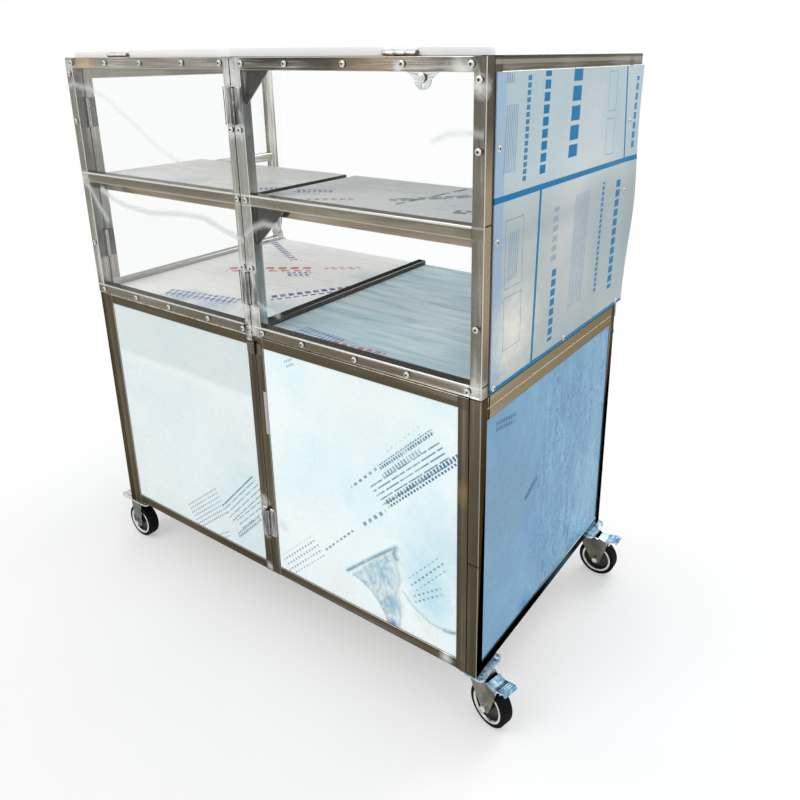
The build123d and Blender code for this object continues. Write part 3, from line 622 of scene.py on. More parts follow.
# protective film over sheet: clouded tone, plain broken bars, scuffs and fine wrinkles, and crumples painted as light
# and shade
def brokenBars(across, up, groups):
    masks = []
    for (x0, z0), (x1, z1), count, pitch, width, ink, dash in groups:
        length = math.hypot(x1 - x0, z1 - z0)
        cos, sin = (x1 - x0) / length, (z1 - z0) / length
        dx, dz = minus(across, x0), minus(up, z0)
        along = scaleAdd(dx, cos, both(dz, sin))
        side = scaleAdd(dz, cos, both(dx, -sin))
        row = ratio(plus(side, 1.0), pitch)
        line = near(fraction(row), 0.5, width / pitch / 2)
        mask = both(between(along, (0, length)), between(side, (-count * pitch, 0)), line)
        if dash:
            slide = both(calc("FLOOR", row), 0.37)
            step = fraction(scaleAdd(plus(along, 1.0), 1 / dash[0], slide))
            mask = both(mask, below(step, dash[1]))
        masks.append(both(mask, ink))
    return either(*masks)


# painted light and shade on crumpled film: lighter and darker facets, painted highlights beside the creases, painted
# shade in them
def crumpled(base, look, along):
    area = mottle(8, 3.0, 0.55, 0.4)
    here = both(spread(along, *look["from"]), spread(area, 0.38, 0.56, 0.2, 1.0))
    size, lean = look["facet"]
    facet = mottle(size, 2.0, 0.5, 0.9, lean)
    base = tint(both(here, spread(facet, 0.49, 0.53, 0.0, look["share"])), base, look["dark"])
    base = tint(both(here, spread(facet, 0.44, 0.36, 0.0, look["share"])), base, look["light"])
    for size, lean, share in look["creases"]:
        swing = minus(mottle(size, 2.0, 0.5, 0.7, lean), 0.5)
        glow = both(spread(swing, 0.008, 0.022), spread(swing, 0.06, 0.022, 0.0, share * 0.7))
        base = tint(both(here, glow), base, look["light"])
        line = spread(calc("ABSOLUTE", swing), 0.016, 0.003, 0.0, share)
        base = tint(both(here, line), base, look["line"])
    return base


def filmSheet(name, look, swap=False):
    material, shader = startMaterial(name)
    x, y, z = axes().values()
    across = y if swap else x
    cloud = mottle(3.2, 3.0, 0.55, 0.6)
    base = ladder(cloud, look["tones"])
    fleck = mottle(38, 5.0, 0.7, 0.4)
    base = tint(spread(fleck, 0.62, 0.78, 0.0, look["fleck"]), base, look["fleckTone"])
    base = paintStainsLightAndShade(base, fleck, look.get("stainsLightAndShade", ()))
    # the film is darker above the given level, with a bright streak just below it
    if "haze" in look:
        level, tone, share, glow = look["haze"]
        base = tint(spread(scaleAdd(cloud, 0.06, z), level + 0.025, level + 0.05, 0.0, share), base, tone)
        streak = both(spread(z, level - 0.03, level - 0.004), spread(z, level + 0.012, level))
        base = tint(both(streak, 0.5), base, glow)
    if "crumple" in look:
        base = crumpled(base, look["crumple"], y)
    if look["bars"]:
        bars = brokenBars(across, z, look["bars"])
        faded = both(bars, spread(fleck, 0.36, 0.50, 0.5, 1.25))
        base = tint(faded, base, look["ink"])
    if "foldTone" in look:
        ragged = both(attribute("fold"), spread(fleck, 0.3, 0.6, 0.45, 1.0))
        base = tint(ragged, base, look["foldTone"])
    crease = mottle(look["crease"], 6.0, 0.62, 0.9)
    dress(shader, {"Base Color": base, "Roughness": spread(crease, 0.3, 0.7, *look["roughness"]),
                   "Specular IOR Level": look["gloss"], "Coat Weight": look["coat"], "Coat Roughness": 0.12},
          crease, look["bump"], 0.002)
    return material


frontFilmLook = {
    "tones": ((0.32, (0.60, 0.74, 0.78)), (0.5, (0.69, 0.785, 0.80)), (0.66, (0.755, 0.82, 0.83))),
    "fleck": 0.25, "fleckTone": (0.42, 0.66, 0.77), "ink": (0.03, 0.15, 0.24), "roughness": (0.2, 0.36), "bump": 0.12,
    "crease": 26, "gloss": 0.4, "coat": 0.1, "haze": (0.61, (0.575, 0.655, 0.66), 0.65, (0.80, 0.85, 0.855)),
    "stainsLightAndShade": [((-0.30, -0.36, 0.36), 0.26, (0.76, 0.86, 0.885), 0.65)],  # middle, reach, tone, share
    "bars": [  # start, end, rows, pitch, width, ink, dash
        ((-0.351, 0.205), (-0.222, 0.305), 7, 0.0115, 0.004, 0.6, (0.011, 0.62)),
        ((-0.206, 0.262), (-0.076, 0.397), 1, 0.012, 0.0035, 0.75, None),
        ((-0.198, 0.250), (-0.066, 0.386), 4, 0.0125, 0.003, 0.6, (0.046, 0.9)),
        ((-0.150, 0.236), (-0.052, 0.330), 3, 0.0125, 0.003, 0.55, (0.034, 0.85)),
        ((-0.150, 0.190), (-0.058, 0.280), 1, 0.014, 0.011, 0.7, (0.0095, 0.62)),
        ((-0.235, 0.155), (-0.185, 0.186), 2, 0.011, 0.004, 0.5, (0.012, 0.6)),
    ],
}
bareFilmLook = {key: value for key, value in frontFilmLook.items() if key != "haze"}
doorFilmLook = dict(bareFilmLook, ink=(0.014, 0.115, 0.205), foldTone=(0.02, 0.21, 0.34))
doorFilmLook["tones"] = ((0.32, (0.66, 0.85, 0.90)), (0.5, (0.80, 0.905, 0.925)), (0.66, (0.85, 0.92, 0.93)))
doorFilmLook["bars"] = [
    ((0.330, 0.556), (0.468, 0.684), 1, 0.012, 0.010, 0.7, (0.0085, 0.66)),
    ((0.250, 0.478), (0.330, 0.556), 1, 0.011, 0.006, 0.6, (0.020, 0.5)),
    ((0.340, 0.538), (0.440, 0.634), 1, 0.013, 0.011, 0.55, (0.010, 0.6)),
    ((0.306, 0.500), (0.484, 0.664), 5, 0.0115, 0.0035, 0.62, (0.052, 0.9)),
    ((0.345, 0.474), (0.528, 0.648), 1, 0.019, 0.0165, 0.75, (0.0105, 0.6)),
    ((0.278, 0.392), (0.345, 0.455), 1, 0.013, 0.009, 0.6, (0.021, 0.5)),
    ((0.163, 0.277), (0.251, 0.366), 1, 0.011, 0.005, 0.6, (0.017, 0.62)),
    ((0.010, 0.190), (0.124, 0.297), 4, 0.014, 0.005, 0.5, (0.013, 0.55)),
    ((0.403, 0.300), (0.485, 0.392), 2, 0.016, 0.0045, 0.55, (0.015, 0.55)),
    ((0.413, 0.264), (0.487, 0.320), 2, 0.013, 0.005, 0.55, (0.014, 0.5)),
    ((0.070, 0.735), (0.094, 0.748), 2, 0.011, 0.005, 0.5, (0.008, 0.6)),
    ((0.34, 0.60), (0.43, 0.69), 3, 0.014, 0.003, 0.3, (0.016, 0.35)),
]
doorFilmLook["stainsLightAndShade"] = [
    ((0.30, -0.36, 0.72), 0.30, (0.76, 0.83, 0.835), 0.6),
    ((0.12, -0.36, 0.45), 0.16, (0.64, 0.82, 0.88), 0.55),
    ((0.50, -0.36, 0.42), 0.16, (0.47, 0.71, 0.80), 0.65),
    ((0.455, -0.36, 0.32), 0.10, (0.42, 0.70, 0.80), 0.75),
    ((0.47, -0.36, 0.26), 0.09, (0.44, 0.71, 0.81), 0.7),
    ((0.335, -0.36, 0.29), 0.045, (0.44, 0.67, 0.78), 0.7),
    ((0.365, -0.36, 0.215), 0.04, (0.26, 0.50, 0.66), 0.75),
    ((0.362, -0.36, 0.160), 0.022, (0.02, 0.13, 0.42), 0.9),
    ((0.20, -0.36, 0.19), 0.085, (0.82, 0.845, 0.85), 0.75),
    ((0.46, -0.36, 0.185), 0.05, (0.82, 0.85, 0.855), 0.75),
    ((0.03, -0.36, 0.285), 0.022, (0.60, 0.42, 0.55), 0.45),
]
slateFilmLook = {
    "tones": ((0.30, (0.099, 0.258, 0.422)), (0.5, (0.134, 0.318, 0.495)), (0.68, (0.190, 0.392, 0.562))),
    "fleck": 0.4, "fleckTone": (0.095, 0.30, 0.55), "ink": (0.02, 0.10, 0.20), "roughness": (0.2, 0.38),
    "bump": 0.4, "foldTone": (0.36, 0.56, 0.70), "crease": 64, "gloss": 0.25, "coat": 0.0,
    "crumple": {"from": (-0.22, -0.04), "share": 0.35, "facet": ((20, 20, 9), (0.3, 0.0, 0.0)),
                "creases": [((26, 26, 7), (0.12, 0.0, 0.0), 0.55), ((18, 18, 12), (-0.6, 0.0, 0.0), 0.4),
                            ((52, 52, 22), (0.5, 0.0, 0.0), 0.4)],
                "dark": (0.080, 0.245, 0.44), "light": (0.235, 0.475, 0.635), "line": (0.025, 0.11, 0.25)},
    "bars": [
        ((-0.165, 0.462), (-0.108, 0.490), 1, 0.014, 0.012, 1.0, None),
        ((-0.298, 0.706), (-0.215, 0.692), 2, 0.013, 0.0085, 1.0, (0.010, 0.6)),
        # the three faint lines run along the film's folds, painted crease shade
        ((-0.07, 0.19), (-0.07, 0.70), 1, 0.01, 0.0025, 0.28, None),
        ((0.075, 0.19), (0.075, 0.70), 1, 0.01, 0.0025, 0.28, None),
        ((0.19, 0.30), (0.19, 0.70), 1, 0.01, 0.0025, 0.22, None),
    ],
    "stainsLightAndShade": [((0.58, -0.03, 0.51), 0.10, (0.15, 0.42, 0.66), 0.45),
               ((0.58, -0.12, 0.34), 0.16, (0.125, 0.285, 0.55), 0.55),
               ((0.58, -0.27, 0.50), 0.26, (0.135, 0.265, 0.400), 0.85),
               ((0.58, -0.145, 0.165), 0.045, (0.03, 0.17, 0.48), 0.8),
               ((0.58, 0.24, 0.40), 0.12, (0.24, 0.44, 0.58), 0.4)],
}
films = {
    "front": filmSheet("frontFilm", frontFilmLook),
    "door": filmSheet("doorFilm", doorFilmLook),
    "slate": filmSheet("slateFilm", slateFilmLook, swap=True),
    "plain": filmSheet("plainFilm", dict(bareFilmLook, bars=[], stainsLightAndShade=[])),
}


# boards and lid: film on the upper face, bare steel below, a painted bluish shade on the right-hand boards, less blue
# up on the shelf
boardSteel = ((0.3, (0.33, 0.335, 0.33)), (0.7, (0.58, 0.58, 0.575)))
shelfFade, gapShadeMottle = (0.9, 1.0), (0.06, 0.058, 0.055)


def boardFilm(name, look):
    material, shader = startMaterial(name)
    x, y, z = axes().values()
    cloud = mottle((3.0, 5.0, 3.0), 3.0, 0.55, 0.5)
    film = ladder(cloud, look["tones"])
    ripple = mottle((5, 42, 20), 4.0, 0.6, 0.5)
    fleck = mottle(60, 4.0, 0.7)
    fewer = spread(z, *shelfFade, 1.0, 0.3)
    # painted bluish shade on the right-hand boards, less of it on the shelf
    if "rightShade" in look:
        rightSide = both(beyond(x, cart["middle"]), fewer)
        rightShade = ladder(scaleAdd(ripple, 0.6, both(cloud, 0.4)), look["rightShade"])
        film = tint(rightSide, film, rightShade)
    lines = both(spread(ripple, 0.58, 0.72, 0.0, 0.25), fewer)
    film = tint(lines, film, look["rippleTone"])
    film = paintStainsLightAndShade(film, fleck, look.get("stainsLightAndShade", ()))
    for level, tone, groups in look["marks"]:
        here = both(brokenBars(x, y, groups), between(z, level))
        film = tint(both(here, spread(fleck, 0.36, 0.52, 0.5, 1.0)), film, tone)
    # painted light: the lid's sides are painted lighter than its top
    if "rim" in look:
        film = tint(spread(turned()["z"], 0.6, 0.3), film, look["rim"])
    bare = below(turned()["z"], -0.4)
    steel = mottle((6, 180, 180), 3.0, 0.6)
    film = tint(bare, film, ladder(steel, boardSteel))
    # painted shade: a dark steel band on a shelf board's edge, at the gap between the boards
    if "joint" in look:
        level, run, tone = look["joint"]
        strip = both(between(x, run), between(z, level))
        film = tint(strip, film, tint(spread(steel, 0.35, 0.65), tone, gapShadeMottle))
        bare = either(bare, strip)
    dress(shader, {"Base Color": film, "Metallic": bare, "Roughness": spread(ripple, 0.3, 0.7, 0.22, 0.4),
                   "Specular IOR Level": 0.06}, ripple, 0.16, 0.0015)
    return material


markBlue, markRed, markDark = (0.015, 0.045, 0.30), (0.62, 0.012, 0.03), (0.03, 0.035, 0.05)
deckLevel, shelfLevel = (0.77, 0.80), (1.07, 1.10)


def mark(start, end, width, dash, ink=0.85, count=1):
    return start, end, count, width * 1.3, width, ink, dash


whiteBoard = boardFilm("whiteBoard", {
    "tones": ((0.3, (0.86, 0.875, 0.87)), (0.5, (0.935, 0.93, 0.905)), (0.7, (0.95, 0.94, 0.91))),
    "rightShade": ((0.36, (0.36, 0.55, 0.64)), (0.5, (0.53, 0.70, 0.765)), (0.64, (0.80, 0.885, 0.905))),
    "rippleTone": (0.62, 0.73, 0.79), "joint": (shelfLevel, (-0.0350, -0.0325), (0.012, 0.012, 0.012)),
    # the first three, along the deck's front edge, are partly print and partly painted shadow
    "stainsLightAndShade": [((-0.36, -0.30, 0.79), 0.09, (0.42, 0.56, 0.68), 0.8),
               ((-0.24, -0.29, 0.79), 0.09, (0.42, 0.56, 0.68), 0.8),
               ((-0.10, -0.23, 0.79), 0.11, (0.46, 0.60, 0.71), 0.75),
               ((-0.06, 0.12, 0.79), 0.08, (0.48, 0.61, 0.70), 0.6),
               ((-0.30, -0.28, 1.09), 0.08, (0.55, 0.66, 0.73), 0.6),
               ((-0.12, -0.22, 1.09), 0.08, (0.55, 0.66, 0.73), 0.5)],
    "marks": [
        (deckLevel, markBlue, [
            mark((-0.175, -0.165), (-0.040, 0.040), 0.030, (0.022, 0.66), 1.0),
            mark((-0.574, 0.261), (-0.356, 0.135), 0.022, (0.026, 0.6), 0.85),
            mark((-0.433, -0.265), (-0.211, -0.219), 0.018, (0.018, 0.6), 0.85, 2),
            mark((-0.290, 0.020), (-0.235, 0.062), 0.018, (0.016, 0.62), 0.9, 2),
            mark((0.066, -0.270), (0.197, -0.286), 0.013, (0.012, 0.6), 0.75, 3)]),
        (deckLevel, markRed, [
            mark((-0.472, -0.035), (-0.266, 0.101), 0.034, (0.036, 0.66), 1.0),
            mark((-0.236, 0.122), (-0.150, 0.180), 0.020, (0.026, 0.6), 0.85),
            mark((0.175, -0.305), (0.315, -0.296), 0.012, (0.022, 0.62), 0.85)]),
        (shelfLevel, markBlue, [
            mark((0.009, -0.224), (0.085, -0.176), 0.016, (0.012, 0.62), 0.9, 2),
            mark((-0.102, -0.263), (-0.045, -0.226), 0.015, (0.012, 0.62), 0.9, 2)]),
        (shelfLevel, markRed, [mark((0.106, -0.291), (0.196, -0.235), 0.015, (0.018, 0.62), 0.85)]),
        (shelfLevel, markDark, [
            mark((0.255, -0.205), (0.405, -0.045), 0.012, (0.060, 0.86), 1.0, 2),
            mark((0.300, -0.245), (0.330, -0.020), 0.010, (0.070, 0.80), 1.0),
            mark((0.44, -0.225), (0.54, -0.195), 0.013, (0.040, 0.75), 1.0, 2)]),
    ],
})
lidFilm = boardFilm("lidFilm", {
    "tones": ((0.3, (0.56, 0.635, 0.665)), (0.5, (0.68, 0.725, 0.74)), (0.7, (0.75, 0.775, 0.78))),
    "rippleTone": (0.45, 0.55, 0.61), "marks": [], "rim": (0.955, 0.96, 0.955),
})

# film over the right upper end: plain bars, columns of blocks and of fine stripes, and thin frames
endPrint = {
    "lean": -0.06, "frameLine": 0.0018, "foot": 0.7895, "change": (1.10, 1.17),
    "rail": ((1.035, 1.062), (1.095, 1.075)), "border": (-0.302, (0.24, 0.38, 0.60)),
    "fleckTone": (0.34, 0.46, 0.52), "innerTone": (0.56, 0.62, 0.65),
    "level": (1.141, 0.0058), "upper": (0.282, 1.141, -0.0958, 0.004), "lower": (-0.156, 1.135, 0.036, 0.0045),
    "blocks": [  # middle, low, high, width, step, share, ink
        (-0.222, 1.16, 1.350, 0.014, 0.0125, 0.7, 0.9), (-0.148, 1.165, 1.352, 0.024, 0.022, 0.74, 1.0),
        (-0.013, 1.182, 1.353, 0.042, 0.038, 0.76, 1.0), (0.332, 1.16, 1.33, 0.016, 0.022, 0.72, 0.9),
        (-0.083, 0.805, 0.965, 0.021, 0.021, 0.72, 0.95), (0.157, 0.845, 1.105, 0.014, 0.0125, 0.7, 0.9),
        (0.249, 0.835, 1.10, 0.026, 0.023, 0.74, 1.0), (-0.083, 0.975, 1.09, 0.024, 0.02, 0.6, 0.35),
    ],
    "stripes": [  # middle, low, high, width, pitch, ink
        (-0.282, 1.185, 1.30, 0.045, 0.0065, 0.4), (-0.29, 1.335, 1.352, 0.03, 0.0075, 0.55),
        (0.040, 0.85, 1.10, 0.075, 0.0085, 0.28), (-0.262, 0.985, 1.075, 0.04, 0.008, 0.28),
    ],
    "frames": [  # low y, high y, low z, high z
        (0.158, 0.206, 1.165, 1.245), (0.158, 0.206, 1.26, 1.345), (-0.292, -0.222, 0.97, 1.10),
        (-0.292, -0.222, 0.85, 0.955),
    ],
    "ink": (0.0, 0.160, 0.350), "paleInk": (0.05, 0.20, 0.36), "railShadowTone": (0.33, 0.38, 0.40),
    # the warm patch low at the front is painted sunlight; the two darker ones at height 1.06 are painted shadow of
    # the middle rail
    "stainsLightAndShade": [((0.58, -0.25, 0.88), 0.13, (0.74, 0.72, 0.66), 0.85),
               ((0.58, 0.02, 0.92), 0.14, (0.52, 0.54, 0.56), 0.5),
               ((0.58, -0.27, 1.06), 0.05, (0.34, 0.42, 0.47), 0.6),
               ((0.58, 0.10, 1.06), 0.09, (0.36, 0.43, 0.46), 0.5),
               ((0.58, 0.08, 1.24), 0.17, (0.53, 0.57, 0.60), 0.65),
               ((0.58, -0.20, 1.33), 0.10, (0.38, 0.50, 0.55), 0.55)],
    "upperTones": ((0.32, (0.363, 0.476, 0.530)), (0.5, (0.442, 0.536, 0.572)), (0.68, (0.550, 0.624, 0.642))),
    "lowerTones": ((0.32, (0.321, 0.392, 0.417)), (0.5, (0.383, 0.440, 0.453)), (0.68, (0.490, 0.525, 0.520))),
}


def endFilmSheet(name, look):
    material, shader = startMaterial(name)
    where = axes()
    y, z = where["y"], where["z"]
    cloud = mottle(2.4, 2.0, 0.5, 0.5)
    base = tint(spread(z, *look["change"]), ladder(cloud, look["lowerTones"]), ladder(cloud, look["upperTones"]))
    # a grey band at the middle rail's height, the rail's painted shadow through the film
    rail = both(*[spread(z, *limits) for limits in look["rail"]])
    base = tint(both(rail, 0.45), base, look["railShadowTone"])
    fleck = mottle(45, 5.0, 0.7, 0.3)
    base = tint(spread(fleck, 0.64, 0.8, 0.0, 0.3), base, look["fleckTone"])
    edge, edgeTone = look["border"]
    border = both(below(y, edge), spread(cloud, 0.3, 0.6, 0.35, 0.75))
    base = tint(border, base, edgeTone)
    base = paintStainsLightAndShade(base, fleck, look["stainsLightAndShade"])

    def column(middle, low, high, wide):
        leaning = scaleAdd(minus(z, (low + high) / 2), look["lean"], y)
        return leaning, both(near(leaning, middle, wide / 2), between(z, (low, high)))

    def box(low, high, foot, head, line=0.0):
        return both(between(y, (low + line, high - line)), between(z, (foot + line, head - line)))

    fine = []
    for *place, pitch, ink in look["stripes"]:
        leaning, inside = column(*place)
        wave = fraction(ratio(plus(leaning, 1.0), pitch))
        fine.append(both(inside, near(wave, 0.5, 0.24), ink * 1.6))
    for frameBox in look["frames"]:
        fine.append(both(minus(box(*frameBox), box(*frameBox, look["frameLine"])), 0.7))
    base = tint(both(either(*fine), spread(fleck, 0.35, 0.5, 0.5, 1.0)), base, look["paleInk"])
    bold = []
    for *place, step, share, ink in look["blocks"]:
        bold.append(both(column(*place)[1], below(fraction(ratio(z, step)), share), ink))
    level = near(z, *look["level"])
    for key, test in (("upper", "GREATER_THAN"), ("lower", "LESS_THAN")):
        y0, z0, slope, half = look[key]
        line = near(scaleAdd(minus(z, z0), -slope, y), y0, half)
        bold.append(both(line, calc(test, z, z0)))
    foot = below(scaleAdd(fleck, 0.006, z), look["foot"])
    bars = both(either(level, foot, *bold), spread(fleck, 0.2, 0.4, 0.9, 1.0))
    base = tint(bars, base, look["ink"])
    inner = both(below(turned()["x"], -0.5), 0.75)
    crease = mottle((14, 14, 8), 5.0, 0.6, 0.8)
    dress(shader, {"Base Color": tint(inner, base, look["innerTone"]), "Specular IOR Level": 0.06,
                   "Roughness": spread(crease, 0.3, 0.7, 0.22, 0.36)}, crease, 0.12, 0.003)
    return material


endFilm = endFilmSheet("endFilm", endPrint)


# clear sheet: faint grey tint, wavy surface, white lines along its folds that are painted highlights
def clearSheet(name):
    material, shader = startMaterial(name)
    clearTone, foldTone = (0.975, 0.985, 0.98), (0.74, 0.76, 0.76)
    smear = mottle((5, 5, 22), 4.0, 0.6, 1.2, (0.0, 0.12, 0.0))
    folded = attribute("fold")
    # the white lines along the folds are painted highlights
    haze = either(spread(smear, 0.64, 0.74, 0.0, 0.02), both(folded, 0.5))
    wire(shader, {"Base Color": tint(folded, clearTone, foldTone), "IOR": 1.22, "Specular IOR Level": 0.2,
                  "Roughness": spread(smear, 0.5, 0.72, 0.0, 0.015), "Transmission Weight": minus(1.0, haze)})
    inShadow = put("LightPath", {}).outputs["Is Shadow Ray"]
    clear = put("BsdfTransparent", {"Color": (*clearTone, 1.0)})
    mixShown(inShadow, shader.outputs["BSDF"], clear.outputs["BSDF"])
    return material


clearPlastic = clearSheet("clearPlastic")


# rubber and moulded plastic
def moulded(name, look):
    material, shader = startMaterial(name)
    cloud = mottle(45, 4.0, 0.6)
    fine = mottle(900, 2.0, 0.5)
    dress(shader, {"Base Color": ladder(cloud, look["tones"]), "Specular IOR Level": look["gloss"],
                   "Roughness": spread(cloud, 0.3, 0.7, *look["roughness"])}, fine, look["bump"], 0.0004)
    return material


tyreRubber = moulded("tyreRubber", {
    "tones": ((0.3, (0.003, 0.003, 0.004)), (0.55, (0.006, 0.006, 0.006)), (0.75, (0.018, 0.017, 0.015))),
    "roughness": (0.55, 0.85), "bump": 0.25, "gloss": 0.06,
})
wheelCore = moulded("wheelCore", {
    "tones": ((0.3, (0.018, 0.018, 0.018)), (0.5, (0.032, 0.032, 0.032)), (0.75, (0.07, 0.07, 0.068))),
    "roughness": (0.35, 0.55), "bump": 0.1, "gloss": 0.4,
})
print("materials made,", len(bpy.data.materials))

# finishes of the pieces that stay as they are in the frame
ends, sides = ("front", "rear"), ("left", "right")


def each(stem, tails):
    return [stem + tail for tail in tails]


leaves = ["hinge_fixed_leaves", "case_door_hinge_leaves", "cabinet_door_hinge_leaves", "corner_hinge_leaves"]
levers = each("latch_lever_", sides)
axleBolts = ["rigid_axle_bolts"] + each("swivel_axle_bolt_", ends)
forks, pedals = each("swivel_fork_", ends), each("brake_pedal_", ends)
finishes = [
    (tubes["lowerFrontSteel"], ["cabinet_front_left_frame", "cabinet_door_frame"]),
    (tubes["crossSteel"], ["cabinet_cross_tubes"]),
    (tubes["lowerEndSteel"], ["cabinet_left_end_frame", "cabinet_right_end_frame"]),
    (tubes["upperFrontSteel"], ["case_front_left_frame", "case_door_frame"]),
    (tubes["upperEndSteel"], ["case_left_end_frame", "case_right_end_frame"]),
    (tubes["tieSteel"], ["case_tie_tubes"]),
    (tubes["shelfSteel"], ["shelf_tubes"]),
    (tubes["deckSteel"], ["deck_centre_tube"]),
    (metals["bareSheet"], ["cabinet_floor_sheet", "cabinet_back_panels", "cabinet_front_left_panel",
                           "cabinet_door_panel", "cabinet_end_panels"]),
    (metals["hingeSteel"], leaves),
    (metals["lidHingeSteel"], ["lid_hinge_leaves", "case_door_tab"]),
    (metals["claspSteel"], ["seam_clasp"]),
    (metals["pinSteel"], ["hinge_pins"]),
    (metals["screwSteel"], each("latch_bail_", sides) + ["latch_keepers"] + axleBolts),
    (metals["latchSteel"], ["latch_bases"] + levers),
    (metals["rigidSteel"], ["rigid_caster_forks"]),
    (metals["plateSteel"], ["swivel_caster_plates"]),
    (metals["forkSteel"], forks),
    (metals["pedalSteel"], pedals),
    (whiteBoard, each("deck_board_", sides) + each("shelf_board_", sides)),
    (lidFilm, ["lid"]),
    (tyreRubber, each("rigid_tyre_", ends) + each("swivel_tyre_", ends)),
    (wheelCore, each("rigid_wheel_core_", ends) + each("swivel_wheel_core_", ends)),
]
for material, names in finishes:
    for name in names:
        wear(nodes[name], material)

# a fine broken edge on the pressed and cut pieces
weldReach, sharpAngle = 0.00001, math.radians(50)
softEdges = {
    0.0004: leaves + ["lid_hinge_leaves", "seam_clasp", "case_door_tab", "latch_bases", "latch_keepers"] + levers,
    0.0007: ["rigid_caster_forks", "swivel_caster_plates"] + forks + pedals + axleBolts,
}
for width, names in softEdges.items():
    for name in names:
        closed = nodes[name].modifiers.new("weld", "WELD")
        closed.merge_threshold = weldReach
        edge = nodes[name].modifiers.new("edge", "BEVEL")
        edge.width = width
        edge.segments = 2
        edge.limit_method = "ANGLE"
        edge.angle_limit = sharpAngle
print("finishes given to the frame")


# a thin sheet drawn flat, raised by its own waves and folds, then stood in its place
def pathDistance(a, b, path):
    nearest = 9.0
    for (x0, y0), (x1, y1) in zip(path, path[1:]):
        dx, dy = x1 - x0, y1 - y0
        share = max(0.0, min(1.0, ((a - x0) * dx + (b - y0) * dy) / (dx * dx + dy * dy)))
        nearest = min(nearest, math.hypot(a - x0 - share * dx, b - y0 - share * dy))
    return nearest


def foldAt(a, b, folds):
    lift, share = 0.0, 0.0
    for path, width, height, show in folds:
        far = pathDistance(a, b, path)
        if far < 4 * width:
            bell = math.exp(-(far / width) ** 2)
            lift += height * bell
            share = max(share, bell * show)
    return lift, share


def flatSheet(name, across, up, cells):
    (a0, a1), (b0, b1) = across, up
    return added(bpy.ops.mesh.primitive_grid_add, name, (a1 - a0, b1 - b0, 1), ((a0 + a1) / 2, (b0 + b1) / 2, 0),
                 x_subdivisions=cells[0], y_subdivisions=cells[1], size=1)


def raiseSheet(sheet, heightAt):
    fold = sheet.data.attributes.new("fold", "FLOAT", "POINT")
    for number, point in enumerate(sheet.data.vertices):
        point.co.z, fold.data[number].value = heightAt(point.co.x, point.co.y)


def standSheet(sheet, out, at, thick):
    turn = {(0, -1, 0): 0.0, (1, 0, 0): 0.5, (0, 1, 0): 1.0, (-1, 0, 0): 1.5}[out] * math.pi
    sheet.data.transform(Matrix.Rotation(turn, 4, "Z") @ Matrix.Rotation(math.pi / 2, 4, "X"))
    sheet.data.transform(Matrix.Translation(Vector(out) * at))
    addSolidify(sheet, thick, -1)
    smoothOver(sheet, 50)


# film skins: thin crinkled film that lies on the lower panels
doorFolds = [  # path, width, height, how strongly it shows
    ([(0.232, 0.247), (0.305, 0.312), (0.376, 0.372)], 0.0042, 0.0036, 0.95),
    ([(0.250, 0.242), (0.312, 0.297), (0.372, 0.356)], 0.0030, 0.0018, 0.5),
    ([(0.376, 0.372), (0.371, 0.352), (0.378, 0.342)], 0.0050, 0.0040, 0.85),
    ([(0.250, 0.246), (0.283, 0.236), (0.307, 0.222), (0.332, 0.196), (0.347, 0.172), (0.347, 0.158)],
     0.0030, 0.0026, 0.65),
    ([(0.372, 0.345), (0.384, 0.290), (0.372, 0.245), (0.384, 0.200), (0.380, 0.160)], 0.0034, 0.0026, 0.45),
    ([(0.392, 0.262), (0.420, 0.236), (0.466, 0.214), (0.524, 0.216)], 0.0026, 0.0018, 0.45),
    ([(0.500, 0.214), (0.526, 0.219)], 0.0045, 0.0022, 0.8),
    ([(0.330, 0.286), (0.352, 0.240), (0.362, 0.180)], 0.0030, 0.0022, 0.4),
]
doorFlap = [(0.250, 0.248), (0.376, 0.370), (0.386, 0.290), (0.384, 0.158), (0.347, 0.158), (0.330, 0.198),
            (0.305, 0.224)]
slateFolds = [
    ([(-0.070, 0.19), (-0.066, 0.42), (-0.072, 0.70)], 0.0030, 0.0012, 0.25),
    ([(0.075, 0.19), (0.080, 0.45), (0.072, 0.70)], 0.0030, 0.0012, 0.25),
    ([(0.190, 0.30), (0.196, 0.50), (0.188, 0.70)], 0.0030, 0.0010, 0.25),
    ([(-0.02, 0.60), (0.03, 0.53), (0.02, 0.47)], 0.004, 0.0014, 0.3),
    ([(0.16, 0.57), (0.205, 0.585), (0.25, 0.56)], 0.004, 0.0014, 0.3),
    ([(-0.17, 0.155), (-0.13, 0.170), (-0.08, 0.165)], 0.005, 0.0020, 0.0),
]
panelUp, endUp = (0.1555, 0.7495), (0.1555, 0.7245)
frontSheet = {"up": panelUp, "out": (0, -1, 0), "at": 0.35985, "swell": 0.0005}
endSheet = {"up": endUp, "swell": 0.0006, "film": "slate"}
backSheet = {"up": panelUp, "out": (0, 1, 0), "at": 0.30415, "cells": (100, 106), "swell": 0.0005, "crease": 0.0006,
             "film": "plain"}
skinLook = {
    "frontLeft": dict(frontSheet, across=(-0.5680, -0.0445), cells=(110, 124), crease=0.00035, film="front"),
    "door": dict(frontSheet, across=(0.0075, 0.5300), up=(0.1565, 0.7485), cells=(190, 214), crease=0.0005,
                 film="door", body="cabinet_door", folds=doorFolds, flap=doorFlap),
    "rightEnd": dict(endSheet, across=(-0.3373, 0.2816), out=(1, 0, 0), at=0.5785, cells=(200, 184), crease=0.0015,
                     folds=slateFolds, calm=(-0.22, -0.06)),
    "leftEnd": dict(endSheet, across=(-0.2816, 0.3373), out=(-1, 0, 0), at=0.6155, cells=(130, 120), crease=0.0010),
    "backLeft": dict(backSheet, across=(0.0315, 0.5930)),
    "backRight": dict(backSheet, across=(-0.5560, 0.0055)),
}
filmThick, filmRest, filmLeast, filmRim = 0.00015, 0.0007, 0.0003, 0.012
calmLeast, flapRise, flapFade = 0.12, 0.0022, 0.04


